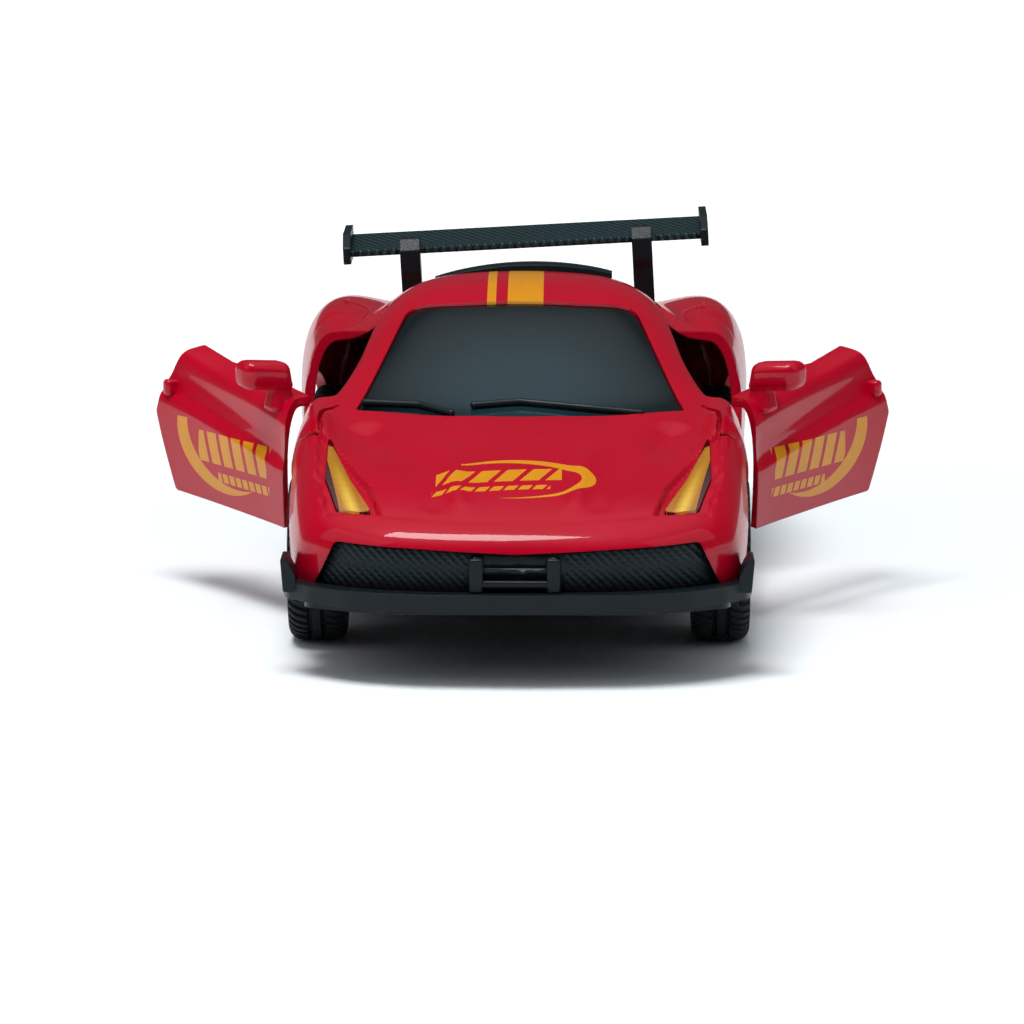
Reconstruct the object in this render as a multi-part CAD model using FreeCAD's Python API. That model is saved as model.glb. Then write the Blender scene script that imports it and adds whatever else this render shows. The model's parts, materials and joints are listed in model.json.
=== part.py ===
"""A pull-back toy car: die-cast body with two opening doors, plastic base, glazing and wing,
four wheels on two axles and a spring motor on the rear axle.

Millimetres. +Z is up, the nose points along -Y, and the origin is on the ground, in the middle of
the car's width and length. The doors are drawn open by DOOR_OPEN degrees, which is their rest pose.
"""

import FreeCAD
import Part
import math
import os

V = FreeCAD.Vector

# ---- driving dimensions -------------------------------------------------------------------------
LENGTH = 123.2            # from the splitter to the wing's end plates, about the origin
NOSE_Y = -60.3            # foremost point of the body
TAIL_Y = 57.8             # rearmost point of the body
BODY_BASE_Z = 7.0         # lower rim of the casting
NOSE_LIP_Z = 8.2          # the rim is cut higher under the nose, over the splitter
WALL = 1.2                # thickness of the casting
FRONT_AXLE_Y = -30.4
REAR_AXLE_Y = 39.2
AXLE_Z = 9.0              # also the tyre's outer radius
AXLE_R = 1.0
TYRE_W = 6.2
FRONT_TRACK = 43.2        # tyre centre to tyre centre
REAR_TRACK = 43.6
DOOR_OPEN = 30.0
HINGE_X = 20.3
HINGE_Y = -21.0
DOOR_SHUT_R = 5.6         # the door's front shut face is part of a cylinder about the hinge
SHUT_GAP = 0.25
WING_LEAN = 3.1           # degrees: the wing sits deeper on one side than on the other
RUN = 0.05                # radial clearance of a running fit
GAP = 0.3                 # room between the door's arm and its bearings
PLATE_Z = 5.4             # underside of the base plate
SEAM = 0.06               # gap round a piece that is set into the casting
LIP = 0.05                # gap between the casting's inner face and the flange of such a piece
FLANGE = 0.8              # thickness of that flange
MODULE = 0.45             # motor gears
BACKLASH = 0.06           # taken off each tooth, and added to each centre distance
AXLE_TEETH = 12
IDLER_TEETH = (24, 10)
SPRING_TEETH = 26
DOOR_INNER_X = 20.35      # the door's upper edge, along the shoulder
DOOR_WALL = 1.1
TAIL_LIGHT_X = 17.0
TAIL_LIGHT_Z = 20.6
TAIL_LIGHT_R = 2.3
FRONT_ARCH_R = 10.3
REAR_ARCH_R = 10.6
ARCH_X = 16.5             # the wheel arches cut nothing nearer the middle than this
STAY_X = 13.9             # the wing's stays
STAY_Y = (49.6, 52.8)
HINGE = V(HINGE_X, HINGE_Y, 0)
ARM_ELBOW = V(HINGE_X - 2.2, HINGE_Y + 5.5, 0)
ARM_END = V(23.5, HINGE_Y + 8.3, 0)
ARM_Z = (18.7, 21.2)
ARM_W = 1.1
PIN_R = 0.7
PIN_Z = (15.9, 22.2)
SCREW_Y = (-41.0, 49.4)
SCREW_R = 0.8
SCREW_HEAD_R = 1.9
SCREW_HEAD_SINK = 1.2     # how deep the heads' pockets go into the base plate
POST_R = 2.3
BOSS_TOP_Z = 8.2          # the base plate's bosses stop here, just under the casting's screw posts
SCREW_SEATS = list(zip(SCREW_Y, (PLATE_Z + 0.4, PLATE_Z)))      # place and the height of the base there
EXHAUST_X = 12.2
EXHAUST_Z = 10.2
EXHAUST_R = 1.6
FIN_X = (-8.4, -2.8, 2.8, 8.4)
LOUVRES = 5
LOUVRE_PITCH = 4.0
STEER = V(9.3, -11.6, 18.8)          # centre of the steering wheel, on the car's left
STEER_AXIS = V(0, 0.93, 0.37)
RIM_R = 6.3
IDLER_ANGLE = 149.6       # from the axle to the idler, in the y-z plane
SPRING_ANGLE = 165.0      # from the idler to the spring gear
CASE_X = (-7.2, 0.4, 7.6)
CASE_WALL = 0.7
CASE = [(16.9, 7.6), (16.9, 22.7), (31.5, 22.7), (45.0, 14.5), (45.0, 4.9), (33.0, 4.9), (24.0, 7.6)]
GEAR_X = ((-4.5, -1.5), (-1.0, 2.0))
SPRING_X = (2.7, 6.3)
JOURNAL_R = 0.8
EAR_Y = ((17.6, 22.0), (40.6, 44.6))

os.makedirs("parts", exist_ok=True)
NODES = {}


# ---- small helpers ------------------------------------------------------------------------------
def box(x0, x1, y0, y1, z0, z1):
    return Part.makeBox(x1 - x0, y1 - y0, z1 - z0, V(x0, y0, z0))


def rod_x(radius, x0, x1, y, z):
    """A cylinder along X."""
    return Part.makeCylinder(radius, x1 - x0, V(x0, y, z), V(1, 0, 0))


def rod_z(radius, x, y, z0, z1):
    return Part.makeCylinder(radius, z1 - z0, V(x, y, z0), V(0, 0, 1))


def mirrored(shape):
    return shape.mirror(V(0, 0, 0), V(1, 0, 0))


def fuse(shapes):
    out = shapes[0]
    for s in shapes[1:]:
        out = out.fuse(s)
    return out.removeSplitter()


def rounded(corners, radius):
    """A closed wire through 3-D corner points in one plane, each corner replaced by a tangent arc."""
    n = len(corners)
    cuts = []
    for i in range(n):
        p, a, b = corners[i], corners[i - 1], corners[(i + 1) % n]
        ta, tb = (a - p), (b - p)
        half = ta.getAngle(tb) / 2
        r = radius[i] if isinstance(radius, (list, tuple)) else radius
        reach = min(r / math.tan(half), 0.45 * ta.Length, 0.45 * tb.Length) if r else 0
        ta.normalize()
        tb.normalize()
        start, end = p + ta * reach, p + tb * reach
        bis = ta + tb
        if reach > 1e-6 and bis.Length > 1e-6:
            bis.normalize()
            r = reach * math.tan(half)
            mid = p + bis * (r / math.sin(half) - r)
            cuts.append((start, mid, end))
        else:
            cuts.append((p, None, p))
    edges = []
    for i in range(n):
        start, mid, end = cuts[i]
        if mid is not None:
            edges.append(Part.Arc(start, mid, end).toShape())
        nxt = cuts[(i + 1) % n][0]
        if (nxt - end).Length > 1e-6:
            edges.append(Part.LineSegment(end, nxt).toShape())
    return Part.Wire(edges)


def prism(corners, direction, radius=0.0):
    """A solid: the polygon with rounded corners, swept along direction."""
    return Part.Face(rounded(corners, radius)).extrude(direction)


def side_prism(yz, x0, x1, radius=0.0):
    return prism([V(x0, y, z) for y, z in yz], V(x1 - x0, 0, 0), radius)


def front_prism(xz, y0, y1, radius=0.0):
    return prism([V(x, y0, z) for x, z in xz], V(0, y1 - y0, 0), radius)


def top_prism(xy, z0, z1, radius=0.0):
    return prism([V(x, y, z0) for x, y in xy], V(0, 0, z1 - z0), radius)


def fillet(shape, radius, choose=lambda e: True):
    """Rounds the chosen edges, and leaves the shape as it was if they can't be rounded."""
    edges = [e for e in shape.Edges if choose(e)]
    try:
        out = shape.makeFillet(radius, edges)
        return out if out.isValid() and out.Volume > 0.5 * shape.Volume else shape
    except Exception:
        return shape


def along(axis):
    """Chooses straight edges that run along an axis."""
    def test(edge):
        if edge.Curve.TypeId != "Part::GeomLine":
            return False
        d = edge.Vertexes[-1].Point - edge.Vertexes[0].Point
        return abs(abs(d.normalize().dot(axis)) - 1) < 1e-4
    return test


def put(name, *shapes):
    """Keeps the solids of one piece, or of a group of identical pieces, under its name."""
    solids = [s for shape in shapes for s in shape.Solids]
    NODES[name] = Part.Compound(solids) if len(solids) > 1 else solids[0]


# ---- the body's form ----------------------------------------------------------------------------
# The skin is one bicubic B-spline. Its poles lie on guides that run from nose to tail. Each guide
# gives a half-width x and a height z at places y along the car, with straight runs between them.
GUIDES = {
    "centre": {"x": [(0, 0.0)],
               "z": [(-58.5, 17.0), (-50, 19.5), (-38, 22.0), (-28, 23.6), (-24, 24.4), (-10, 29.9),
                     (0, 33.4), (10, 34.9), (22, 34.1), (34, 30.9), (46, 28.0), (54, 26.9)]},
    "pillar": {"x": [(-58.5, 12.8), (-50, 14.0), (-38, 15.6), (-20, 19.3), (3, 14.3), (10, 13.6),
                     (22, 12.7), (34, 11.6), (54, 11.2)],
               "z": [(-58.5, 16.6), (-50, 18.9), (-38, 21.3), (-20, 24.1), (3, 33.0), (10, 33.9),
                     (22, 32.8), (34, 29.6), (46, 27.3), (54, 26.5)]},
    "belt": {"x": [(-50, 17.6), (-38, 18.2), (-25, 19.7), (-17, 20.7), (0, 20.9), (10, 20.3),
                   (22, 17.4), (34, 15.6), (54, 15.2)],
             "z": [(-50, 18.5), (-38, 20.9), (-25, 22.9), (-17, 24.0), (0, 24.6), (10, 26.3),
                   (22, 27.8), (34, 27.6), (46, 26.7), (54, 26.0)]},
    "crest": {"x": [(-50, 20.4), (-38, 21.4), (-25, 22.3), (-17, 22.9), (0, 22.9), (10, 22.9),
                    (22, 22.6), (34, 22.2), (46, 21.7), (54, 20.8)],
              "z": [(-58, 15.6), (-50, 18.8), (-38, 23.0), (-25, 25.2), (-17, 24.7), (0, 24.9),
                    (10, 27.2), (22, 29.9), (34, 30.4), (46, 29.0), (54, 27.0)]},
    "upper": {"x": [(-50, 22.9), (-38, 24.5), (-25, 25.0), (-17, 24.6), (0, 24.1), (10, 24.6),
                    (22, 25.8), (34, 26.1), (46, 25.5), (54, 23.8)],
              "z": [(-50, 16.0), (-38, 19.2), (-25, 20.9), (-17, 20.4), (0, 20.6), (10, 21.8),
                    (22, 24.6), (34, 25.6), (46, 24.8), (54, 23.2)]},
    "waist": {"x": [(-50, 23.4), (-38, 24.9), (-25, 25.1), (-17, 24.6), (0, 24.4), (10, 24.9),
                    (22, 26.0), (34, 26.2), (46, 25.7), (54, 24.0)],
              "z": [(-50, 12.2), (-38, 13.6), (-25, 14.6), (0, 15.4), (22, 17.5), (34, 18.5),
                    (54, 16.5)]},
    "lower": {"x": [(-50, 23.2), (-38, 24.5), (-25, 24.6), (-17, 24.1), (0, 24.0), (10, 24.4),
                    (22, 25.3), (34, 25.6), (46, 25.1), (54, 23.6)],
              "z": [(0, 9.6)]},
    "sill": {"x": [(-50, 22.9), (-38, 24.2), (-25, 24.2), (-17, 23.8), (0, 23.7), (10, 24.0),
                   (22, 24.9), (34, 25.2), (46, 24.7), (54, 23.2)],
             "z": [(0, BODY_BASE_Z)]},
}
SIDE_GUIDES = ["pillar", "belt", "crest", "upper", "waist", "lower", "sill"]
# Rows of poles over the top: the place on the centre line, and how far the row bows back at x = 25.
ROWS = [(-50, 12), (-38, 13), (-28, 14.5), (-23.5, 14.5), (-10, 13), (0, 11), (10, 6), (22, 2.5),
        (34, 0), (46, -7), (54, -13)]
# Rows round the nose and the tail: set-back from the outline, height, and how many poles past the
# corner the row runs back along the side.
NOSE_ROWS = [(1.6, 8.0), (0.3, 11.0), (0.0, 14.2), (1.9, 17.0)]
NOSE_X = [0.0, 6.6, 12.4, 16.6, 19.8, 21.9, 23.0, 23.5, 23.7]
TAIL_ROWS = [(1.0, 25.0), (0.0, 19.5), (1.4, 12.0)]
TAIL_X = [0.0, 6.6, 12.4, 16.8, 20.2, 22.4, 23.5, 24.1, 24.4]
# The lowest rows, under the nose and the tail, as (x, y).
NOSE_RIM = [(0, -59.1), (6.4, -59.0), (12.2, -58.1), (16.2, -56.6), (19.3, -54.6), (21.4, -52.7),
            (22.5, -51.2), (22.9, -49.9), (23.1, -48.7)]
TAIL_RIM = [(0, 55.4), (6.4, 55.4), (12.2, 55.1), (16.5, 54.3), (19.9, 53.2), (22.0, 52.1), (23.1, 51.1),
            (23.7, 50.2), (24.0, 49.4)]


def at(knots, y):
    """Straight-line interpolation in a list of (y, value)."""
    if y <= knots[0][0]:
        return knots[0][1]
    for (y0, v0), (y1, v1) in zip(knots, knots[1:]):
        if y <= y1:
            return v0 + (v1 - v0) * (y - y0) / (y1 - y0)
    return knots[-1][1]


def guide_point(name, y):
    return (at(GUIDES[name]["x"], y), y, at(GUIDES[name]["z"], y))


def nose_outline(x):
    return NOSE_Y + 9.6 * (x / 23.5) ** 3.6


def tail_outline(x):
    return TAIL_Y - 5.5 * (x / 23.6) ** 4.0


def end_row(i, rows, xs, outline, sign, corner_step):
    """A row of poles on the nose or tail: across the end face, then back along the side.
    The i-th row from the bottom turns the corner i + 1 poles before the sill."""
    set_back, z = rows[i]
    turn = len(xs) - 2 - i
    row = []
    for j, x in enumerate(xs):
        if j <= turn:
            row.append((x, outline(x) - sign * set_back * (1 - 0.5 * (x / 24) ** 4), z))
        else:
            y = row[turn][1] - sign * corner_step * (j - turn)
            row.append(guide_point((["centre", "centre"] + SIDE_GUIDES)[j], y))
    return row


def pole_rows():
    """The poles of one half, row by row from nose to tail, each row from the centre to the sill."""
    rows = [[(x, y, BODY_BASE_Z) for x, y in NOSE_RIM]]
    for i in range(len(NOSE_ROWS)):
        rows.append(end_row(i, NOSE_ROWS, NOSE_X, nose_outline, -1, 2.6))
    for y_mid, bow in ROWS:
        centre = guide_point("centre", y_mid)
        row = [centre]
        for name in SIDE_GUIDES:
            x = at(GUIDES[name]["x"], y_mid)
            row.append(guide_point(name, y_mid + bow * (x / 25) ** 2))
        px, py, pz = row[1]
        inner = (0.52 * px, y_mid + bow * (0.52 * px / 25) ** 2, centre[2] - 0.2 * (centre[2] - pz))
        row.insert(1, inner)
        rows.append(row)
    for k in range(len(TAIL_ROWS)):
        rows.append(end_row(len(TAIL_ROWS) - 1 - k, TAIL_ROWS[::-1], TAIL_X, tail_outline, 1, 2.6))
    rows.append([(x, y, BODY_BASE_Z) for x, y in TAIL_RIM])
    return rows


def knots(n):
    """Knots and multiplicities of a clamped uniform cubic with n poles."""
    inner = n - 4
    return [float(k) for k in range(inner + 2)], [4] + [1] * inner + [4]


def surface(rows, facing=1):
    """The B-spline surface on the poles of one half and their mirror images. It faces outwards, or
    inwards where facing is -1."""
    grid = [[V(facing * x, y, z) for x, y, z in reversed(row[1:])] + [V(-facing * x, y, z) for x, y, z in row]
            for row in rows]
    uk, um = knots(len(grid))
    vk, vm = knots(len(grid[0]))
    s = Part.BSplineSurface()
    s.buildFromPolesMultsKnots(grid, um, vm, uk, vk, False, False, 3, 3)
    return s


def inset_rows(depth):
    """The poles moved inwards by depth along the skin's normals, with the rim kept at its height."""
    rows = pole_rows()
    outer = surface(rows)
    uk, um = knots(len(rows))
    vk, vm = knots(2 * len(rows[0]) - 1)

    def greville(k, m, i):
        flat = [t for t, c in zip(k, m) for _ in range(c)]
        return sum(flat[i + 1:i + 4]) / 3
    out = []
    for i, row in enumerate(rows):
        new = []
        for j, (x, y, z) in enumerate(row):
            u = min(max(greville(uk, um, i), uk[0] + 0.02), uk[-1] - 0.02)
            v = min(max(greville(vk, vm, len(row) - 1 - j), vk[0] + 0.02), vk[-1] - 0.02)
            n = outer.normal(u, v)
            rim = i in (0, len(rows) - 1) or j == len(row) - 1
            new.append((0.0 if j == 0 else x - n.x * depth, y - n.y * depth,
                        z if rim else z - n.z * depth))
        out.append(new)
    return out


def skin(depth, facing=1):
    """The body's surface, set in by depth, with its rim at BODY_BASE_Z."""
    return surface(inset_rows(depth) if depth else pole_rows(), facing).toShape()


def rim_wire(surface_shape):
    return Part.Wire(Part.__sortEdges__(surface_shape.Edges))


def form(depth):
    """The solid under the surface, closed by a flat face across its rim."""
    over = skin(depth)
    return Part.Solid(Part.Shell([over, Part.Face(rim_wire(over))]))


def band(outer, inner):
    """The wall between the surfaces set in by outer and by inner."""
    over, under = skin(outer), skin(inner, -1)
    ring = Part.Face([rim_wire(over), rim_wire(under)])
    return Part.Solid(Part.Shell([over, under, ring]))


def panel(wire, direction, lift, flange=0.9):
    """The hole for a piece that is pushed into the casting from inside, and the piece itself:
    a plug that stops lift below the skin, and a flange behind the hole's edge."""
    face = Part.Face(wire)
    hole = face.extrude(direction)
    plug = band(lift, WALL + LIP).common(face.makeOffset2D(-SEAM).extrude(direction))
    lip = band(WALL + LIP, WALL + LIP + FLANGE)
    lip = lip.common(face.makeOffset2D(flange).extrude(direction))
    return hole, plug.fuse(lip)


def flat_wire(points, radius):
    return rounded([V(*p) for p in points], radius)


def both(shape):
    return [shape, mirrored(shape)]


# ---- openings of the casting --------------------------------------------------------------------
WINDSCREEN = [(-17.9, -22.6), (-9.8, -26.3), (0, -27.3), (9.8, -26.3), (17.9, -22.6), (12.7, 1.2),
              (7.0, -0.2), (-7.0, -0.2), (-12.7, 1.2)]
WINDSCREEN_R = [1.0, 20, 20, 20, 1.0, 2.0, 20, 20, 2.0]
ENGINE_COVER = [(-10.5, 19.5), (10.5, 19.5), (9.6, 46.0), (-9.6, 46.0)]
HEADLIGHT = [(20.4, -32.6), (20.3, -44.5), (18.9, -51.4), (15.0, -53.4), (17.7, -44.2)]
GRILLE = [(-18.9, 14.7), (-10.0, 14.45), (0, 14.0), (10.0, 14.45), (18.9, 14.7), (21.5, 9.0),
          (-21.5, 9.0)]
# The doorway with the side window above it, and the door, both as the side sees them (y, z).
DOORWAY = [(-17.8, 9.9), (-17.8, 23.7), (-6.7, 27.2), (3.0, 29.8), (9.0, 31.1), (15.0, 31.8), (16.9, 30.6),
           (15.0, 27.5), (13.6, 19.5), (9.7, 10.7)]
DOOR = [(-18.5, 10.2), (9.4, 11.0), (13.25, 19.6), (12.3, 23.2), (10.4, 27.2), (3.0, 26.0), (-18.5, 26.0)]
DIFFUSER = [(-16.4, 8.4), (-15.2, 12.9), (15.2, 12.9), (16.4, 8.4)]
UP = V(0, 0, 40)
BACK = V(0, 14, 0)


def bar(p, q, width, z0, z1):
    """A straight bar with round ends, seen from above."""
    d = q - p
    n = V(-d.y, d.x, 0).normalize() * (width / 2)
    corners = [(v.x, v.y) for v in (p + n, q + n, q - n, p - n)]
    return fuse([top_prism(corners, z0, z1), rod_z(width / 2, p.x, p.y, z0, z1),
                 rod_z(width / 2, q.x, q.y, z0, z1)])


def wing_lean(shape):
    return shape.rotate(V(0, 55, 33.8), V(0, 1, 0), -WING_LEAN)


def stay_slots():
    slots = [box(x - 1.25, x + 1.25, STAY_Y[0] - 0.05, STAY_Y[1] + 0.05, 20, 34) for x in (-STAY_X, STAY_X)]
    return [wing_lean(s) for s in slots]


# ---- pieces set into the casting ----------------------------------------------------------------
windscreen_hole, windscreen = panel(flat_wire([(x, y, 0) for x, y in WINDSCREEN], WINDSCREEN_R), UP, 0.3)
cover_hole, cover = panel(flat_wire([(x, y, 0) for x, y in ENGINE_COVER], 2.0), UP, 0.1)
lamp_hole, lamp = panel(flat_wire([(x, y, 12) for x, y in HEADLIGHT], [0.3, 3, 0.8, 0.6, 6]), UP, 0.35, 0.5)
grille_hole, grille = panel(flat_wire([(x, -64, z) for x, z in GRILLE], [0.8, 10, 20, 10, 0.8, 0.6, 0.6]),
                            BACK, 0.8, 0.6)
tail_ring = Part.Wire(Part.Circle(V(TAIL_LIGHT_X, 48, TAIL_LIGHT_Z), V(0, 1, 0), TAIL_LIGHT_R).toShape())
tail_hole, tail_lamp = panel(tail_ring, BACK, 0.2, 0.8)
diffuser_hole, diffuser = panel(flat_wire([(x, 48, z) for x, z in DIFFUSER], 0.8), BACK, 0.5, 0.6)


# ---- the casting --------------------------------------------------------------------------------
def body_shell():
    doorway = side_prism(DOORWAY, 12.5, 30, 0.8)
    doorway = doorway.cut(rod_z(DOOR_SHUT_R - SHUT_GAP / 2, HINGE_X, HINGE_Y, 0, 50))
    arches = [rod_x(r, ARCH_X, 30, y, AXLE_Z) for r, y in
              ((FRONT_ARCH_R, FRONT_AXLE_Y), (REAR_ARCH_R, REAR_AXLE_Y))]
    cuts = [windscreen_hole, cover_hole, grille_hole, diffuser_hole]
    for shape in [doorway, lamp_hole, tail_hole] + arches:
        cuts += both(shape)
    cuts += stay_slots()
    cuts.append(box(-30, 30, -70, -43.5, 0, NOSE_LIP_Z))
    shell = band(0, WALL)
    for c in cuts:
        shell = shell.cut(c)
    inside = form(WALL / 2)
    for y in SCREW_Y:
        post = rod_z(POST_R, 0, y, BOSS_TOP_Z + SEAM, 30).cut(rod_z(SCREW_R, 0, y, 0, 17)).common(inside)
        shell = shell.fuse(post)
    lug = box(18.7, 24.5, -22.9, -19.3, ARM_Z[1] + GAP, 30).common(inside)
    bore = rod_z(PIN_R + RUN, HINGE_X, HINGE_Y, 15, PIN_Z[1] + 0.2)
    for shape in both(lug):
        shell = shell.fuse(shape)
    for shape in both(bore):
        shell = shell.cut(shape)
    return shell


def door_closed():
    panel = band(0, DOOR_WALL).common(side_prism(DOOR, DOOR_INNER_X, 30, 0.7))
    panel = panel.cut(rod_z(DOOR_SHUT_R + SHUT_GAP / 2, HINGE_X, HINGE_Y, 0, 50))
    panel = max(panel.Solids, key=lambda s: s.Volume)
    arm = fuse([bar(HINGE, ARM_ELBOW, ARM_W, *ARM_Z), bar(ARM_ELBOW, ARM_END, ARM_W, *ARM_Z),
                rod_z(1.45, HINGE_X, HINGE_Y, *ARM_Z), rod_z(PIN_R, HINGE_X, HINGE_Y, *PIN_Z)])
    mirror = box(21.8, 27.1, -14.2, -11.6, 24.9, 28.2)
    mirror = fillet(mirror, 1.1)
    neck = fillet(box(22.0, 23.8, -13.7, -12.1, 23.2, 25.6), 0.4, along(V(0, 0, 1)))
    tab = fillet(box(23.6, 25.0, 10.6, 11.6, 21.6, 23.4), 0.35, along(V(1, 0, 0)))
    return fuse([panel, arm, mirror, neck, tab])


def opened(shape, sign):
    """A door at its rest pose, for the side x > 0 (sign 1) or x < 0 (sign -1)."""
    out = shape.copy()
    out.rotate(HINGE, V(0, 0, 1), -DOOR_OPEN)
    return out if sign > 0 else mirrored(out)


# ---- plastic outside ----------------------------------------------------------------------------
def wipers():
    """Two wipers lying on the foot of the windscreen."""
    runs = [[(-16.9, -20.8, 24.35), (-10.9, -22.8, 24.4), (-7.4, -25.8, 23.9)],
            [(-5.0, -23.9, 24.5), (-0.1, -23.2, 24.8), (7.7, -24.4, 24.25), (13.1, -24.5, 23.75)]]
    out = []
    for run in runs:
        pts = [V(*p) for p in run]
        bits = [Part.makeSphere(0.4, p) for p in pts]
        for p, q in zip(pts, pts[1:]):
            bits.append(Part.makeCylinder(0.4, (q - p).Length, p, q - p))
        out.append(fuse(bits).cut(form(0.28)))
    return out


def grille_insert():
    """The dark panel behind the nose opening, with a duct frame of two uprights and a cross bar."""
    room = band(0.15, WALL)
    frame = [box(x - 0.45, x + 0.45, -61, -56, 9.2, 13.7) for x in (-4.0, 3.6)]
    frame.append(box(-4.0, 3.6, -61, -57, 11.9, 12.6))
    out = grille
    for piece in frame:
        out = out.fuse(piece.common(room))
    return out


def front_splitter():
    right = [(24.6, -48.6), (24.2, -52.4), (21.6, -55.6), (17.8, -58.6), (11.6, -60.9)]
    blade = [(-x, y) for x, y in right] + [(0, LENGTH / -2)] + right[::-1]
    top = top_prism(blade, NOSE_LIP_Z, 10.0, [0.8, 3, 5, 6, 20, 30, 20, 6, 5, 3, 0.8]).cut(form(0))
    fin = front_prism([(23.1, 9.0), (24.4, 9.0), (24.7, 12.6), (24.0, 12.4), (23.1, 10.6)], -53.6, -48.7, 0.25)
    web = top_prism([(-21, -47.2), (-22.5, -53.4), (-14, -58.2), (14, -58.2), (22.5, -53.4), (21, -47.2)],
                    NOSE_LIP_Z - 0.8, NOSE_LIP_Z, 2.0)
    parts = [web.cut(rod_z(2.6, 0, SCREW_Y[0], 0, 30)), top]
    parts += [f.cut(form(0)) for f in both(fin)]
    return fuse(parts)


def rear_wing():
    """Blade, end plates and stays in one moulding, leaning a little to one side."""
    half = 21.0
    tail = LENGTH / 2
    blade = side_prism([(50.0, 33.1), (53.9, 32.9), (60.8, 34.0), (60.6, 34.75), (53.4, 34.0), (50.0, 33.9)],
                       -half, half, 0.3)
    plate = side_prism([(49.0, 32.3), (tail, 32.3), (tail, 35.8), (51.4, 35.8), (49.0, 34.3)],
                       half, half + 0.9, 0.5)
    stay = side_prism([(STAY_Y[0], 24.5), (STAY_Y[1], 24.5), (STAY_Y[1], 33.5), (52.0, 35.0),
                       (50.4, 35.0), (49.2, 33.6), (49.2, 31.0), (STAY_Y[0], 30.0)],
                      STAY_X - 1.2, STAY_X + 1.2, 0.5)
    return wing_lean(fuse([blade] + both(plate) + both(stay)))


def rear_diffuser():
    out = diffuser
    inside = form(WALL)
    for x in FIN_X:
        fin = side_prism([(50.0, 8.6), (58.6, 8.6), (58.8, 9.4), (57.2, 12.5), (50.0, 12.5)],
                         x - 0.4, x + 0.4, 0.3)
        out = out.fuse(fin.cut(inside))
    for pipe in both(exhaust_tube(EXHAUST_R + SEAM / 2, 0)):
        out = out.cut(pipe)
    return out


def exhaust_tube(outer, inner):
    """One exhaust pipe, closed at its inner end; inner is 0 for the plain rod that cuts its hole."""
    tube = Part.makeCylinder(outer, 7.0, V(EXHAUST_X, 51.5, EXHAUST_Z), V(0, 1, 0))
    if inner:
        tube = tube.cut(Part.makeCylinder(inner, 6.0, V(EXHAUST_X, 53.5, EXHAUST_Z), V(0, 1, 0)))
    return tube


def engine_cover():
    """Black deck behind the roof, with a row of louvre slots and a spine."""
    out = cover
    for i in range(LOUVRES):
        y = 25.0 + LOUVRE_PITCH * i
        for side in (-1, 1):
            slot = top_prism([(side * 1.6, y - 0.5), (side * 7.6, y + 0.3), (side * 7.6, y + 1.3),
                              (side * 1.6, y + 0.5)], 20, 40)
            out = out.cut(slot)
    return out


# ---- inside -------------------------------------------------------------------------------------
def seat(x):
    """A bucket seat centred on x."""
    shell = side_prism([(-5.0, 8.0), (-5.4, 12.4), (3.6, 11.4), (7.4, 22.0), (8.2, 25.6), (10.4, 25.2),
                        (9.6, 20.0), (7.4, 8.0)], x - 4.6, x + 4.6, 0.8)
    wings = [side_prism([(-4.4, 8.0), (-4.8, 13.9), (3.0, 13.4), (5.8, 21.2), (7.6, 23.0), (9.4, 21.6),
                         (7.4, 8.0)], a, a + 1.5, 0.7) for a in (x - 5.2, x + 3.7)]
    return fuse([shell] + wings)


def interior_tub():
    floor = box(-18.4, 18.4, -20.9, 15.4, BODY_BASE_Z, BODY_BASE_Z + 1.0)
    bulkhead = box(-16.2, 16.2, -22.2, -20.9, BODY_BASE_Z, 20.0)
    back = box(-16.2, 16.2, 14.4, 15.4, BODY_BASE_Z, 26.4)
    dash = side_prism([(-22.2, 15.5), (-22.2, 21.2), (-17.2, 21.0), (-16.2, 18.8), (-18.0, 15.5)],
                      -16.2, 16.2, 0.8)
    tunnel = fillet(box(-2.3, 2.3, -21.5, 14.6, 7.5, 11.6), 0.6, along(V(0, 1, 0)))
    parts = [floor, bulkhead, back, dash, tunnel, seat(-9.3), seat(9.3)]
    sill = fuse([box(17.4, 18.4, -19.0, 13.0, 7.5, 10.1), box(17.4, 22.0, -19.0, 13.0, 9.3, 10.1)])
    ear = box(15.4, 22.1, -22.5, -19.5, 15.6, ARM_Z[0] - GAP)
    ear = ear.cut(rod_z(PIN_R + RUN, HINGE_X, HINGE_Y, 15, 19))
    parts += both(sill) + both(ear)
    return fuse(parts).cut(steering_wheel_blank(0.6))


def steering_wheel_blank(column_r):
    return Part.makeCylinder(column_r, 6.6, STEER, STEER_AXIS * -1)


def steering_wheel():
    rim = Part.makeTorus(3.6, 0.5, STEER, STEER_AXIS)
    hub = Part.makeCylinder(1.0, 1.0, STEER - STEER_AXIS * 0.7, STEER_AXIS)
    spokes = []
    side = V(1, 0, 0)
    for angle in (0, 180, 270):
        spoke = Part.makeBox(3.4, 0.9, 0.6, V(0.4, -0.45, -0.3))
        spoke.rotate(V(0, 0, 0), V(0, 0, 1), angle)
        up = STEER_AXIS.cross(side)
        place = FreeCAD.Matrix(side.x, up.x, STEER_AXIS.x, STEER.x, side.y, up.y, STEER_AXIS.y, STEER.y,
                               side.z, up.z, STEER_AXIS.z, STEER.z, 0, 0, 0, 1)
        spokes.append(spoke.transformGeometry(place))
    return fuse([rim, hub, steering_wheel_blank(0.6)] + spokes)


# ---- base ---------------------------------------------------------------------------------------


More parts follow.
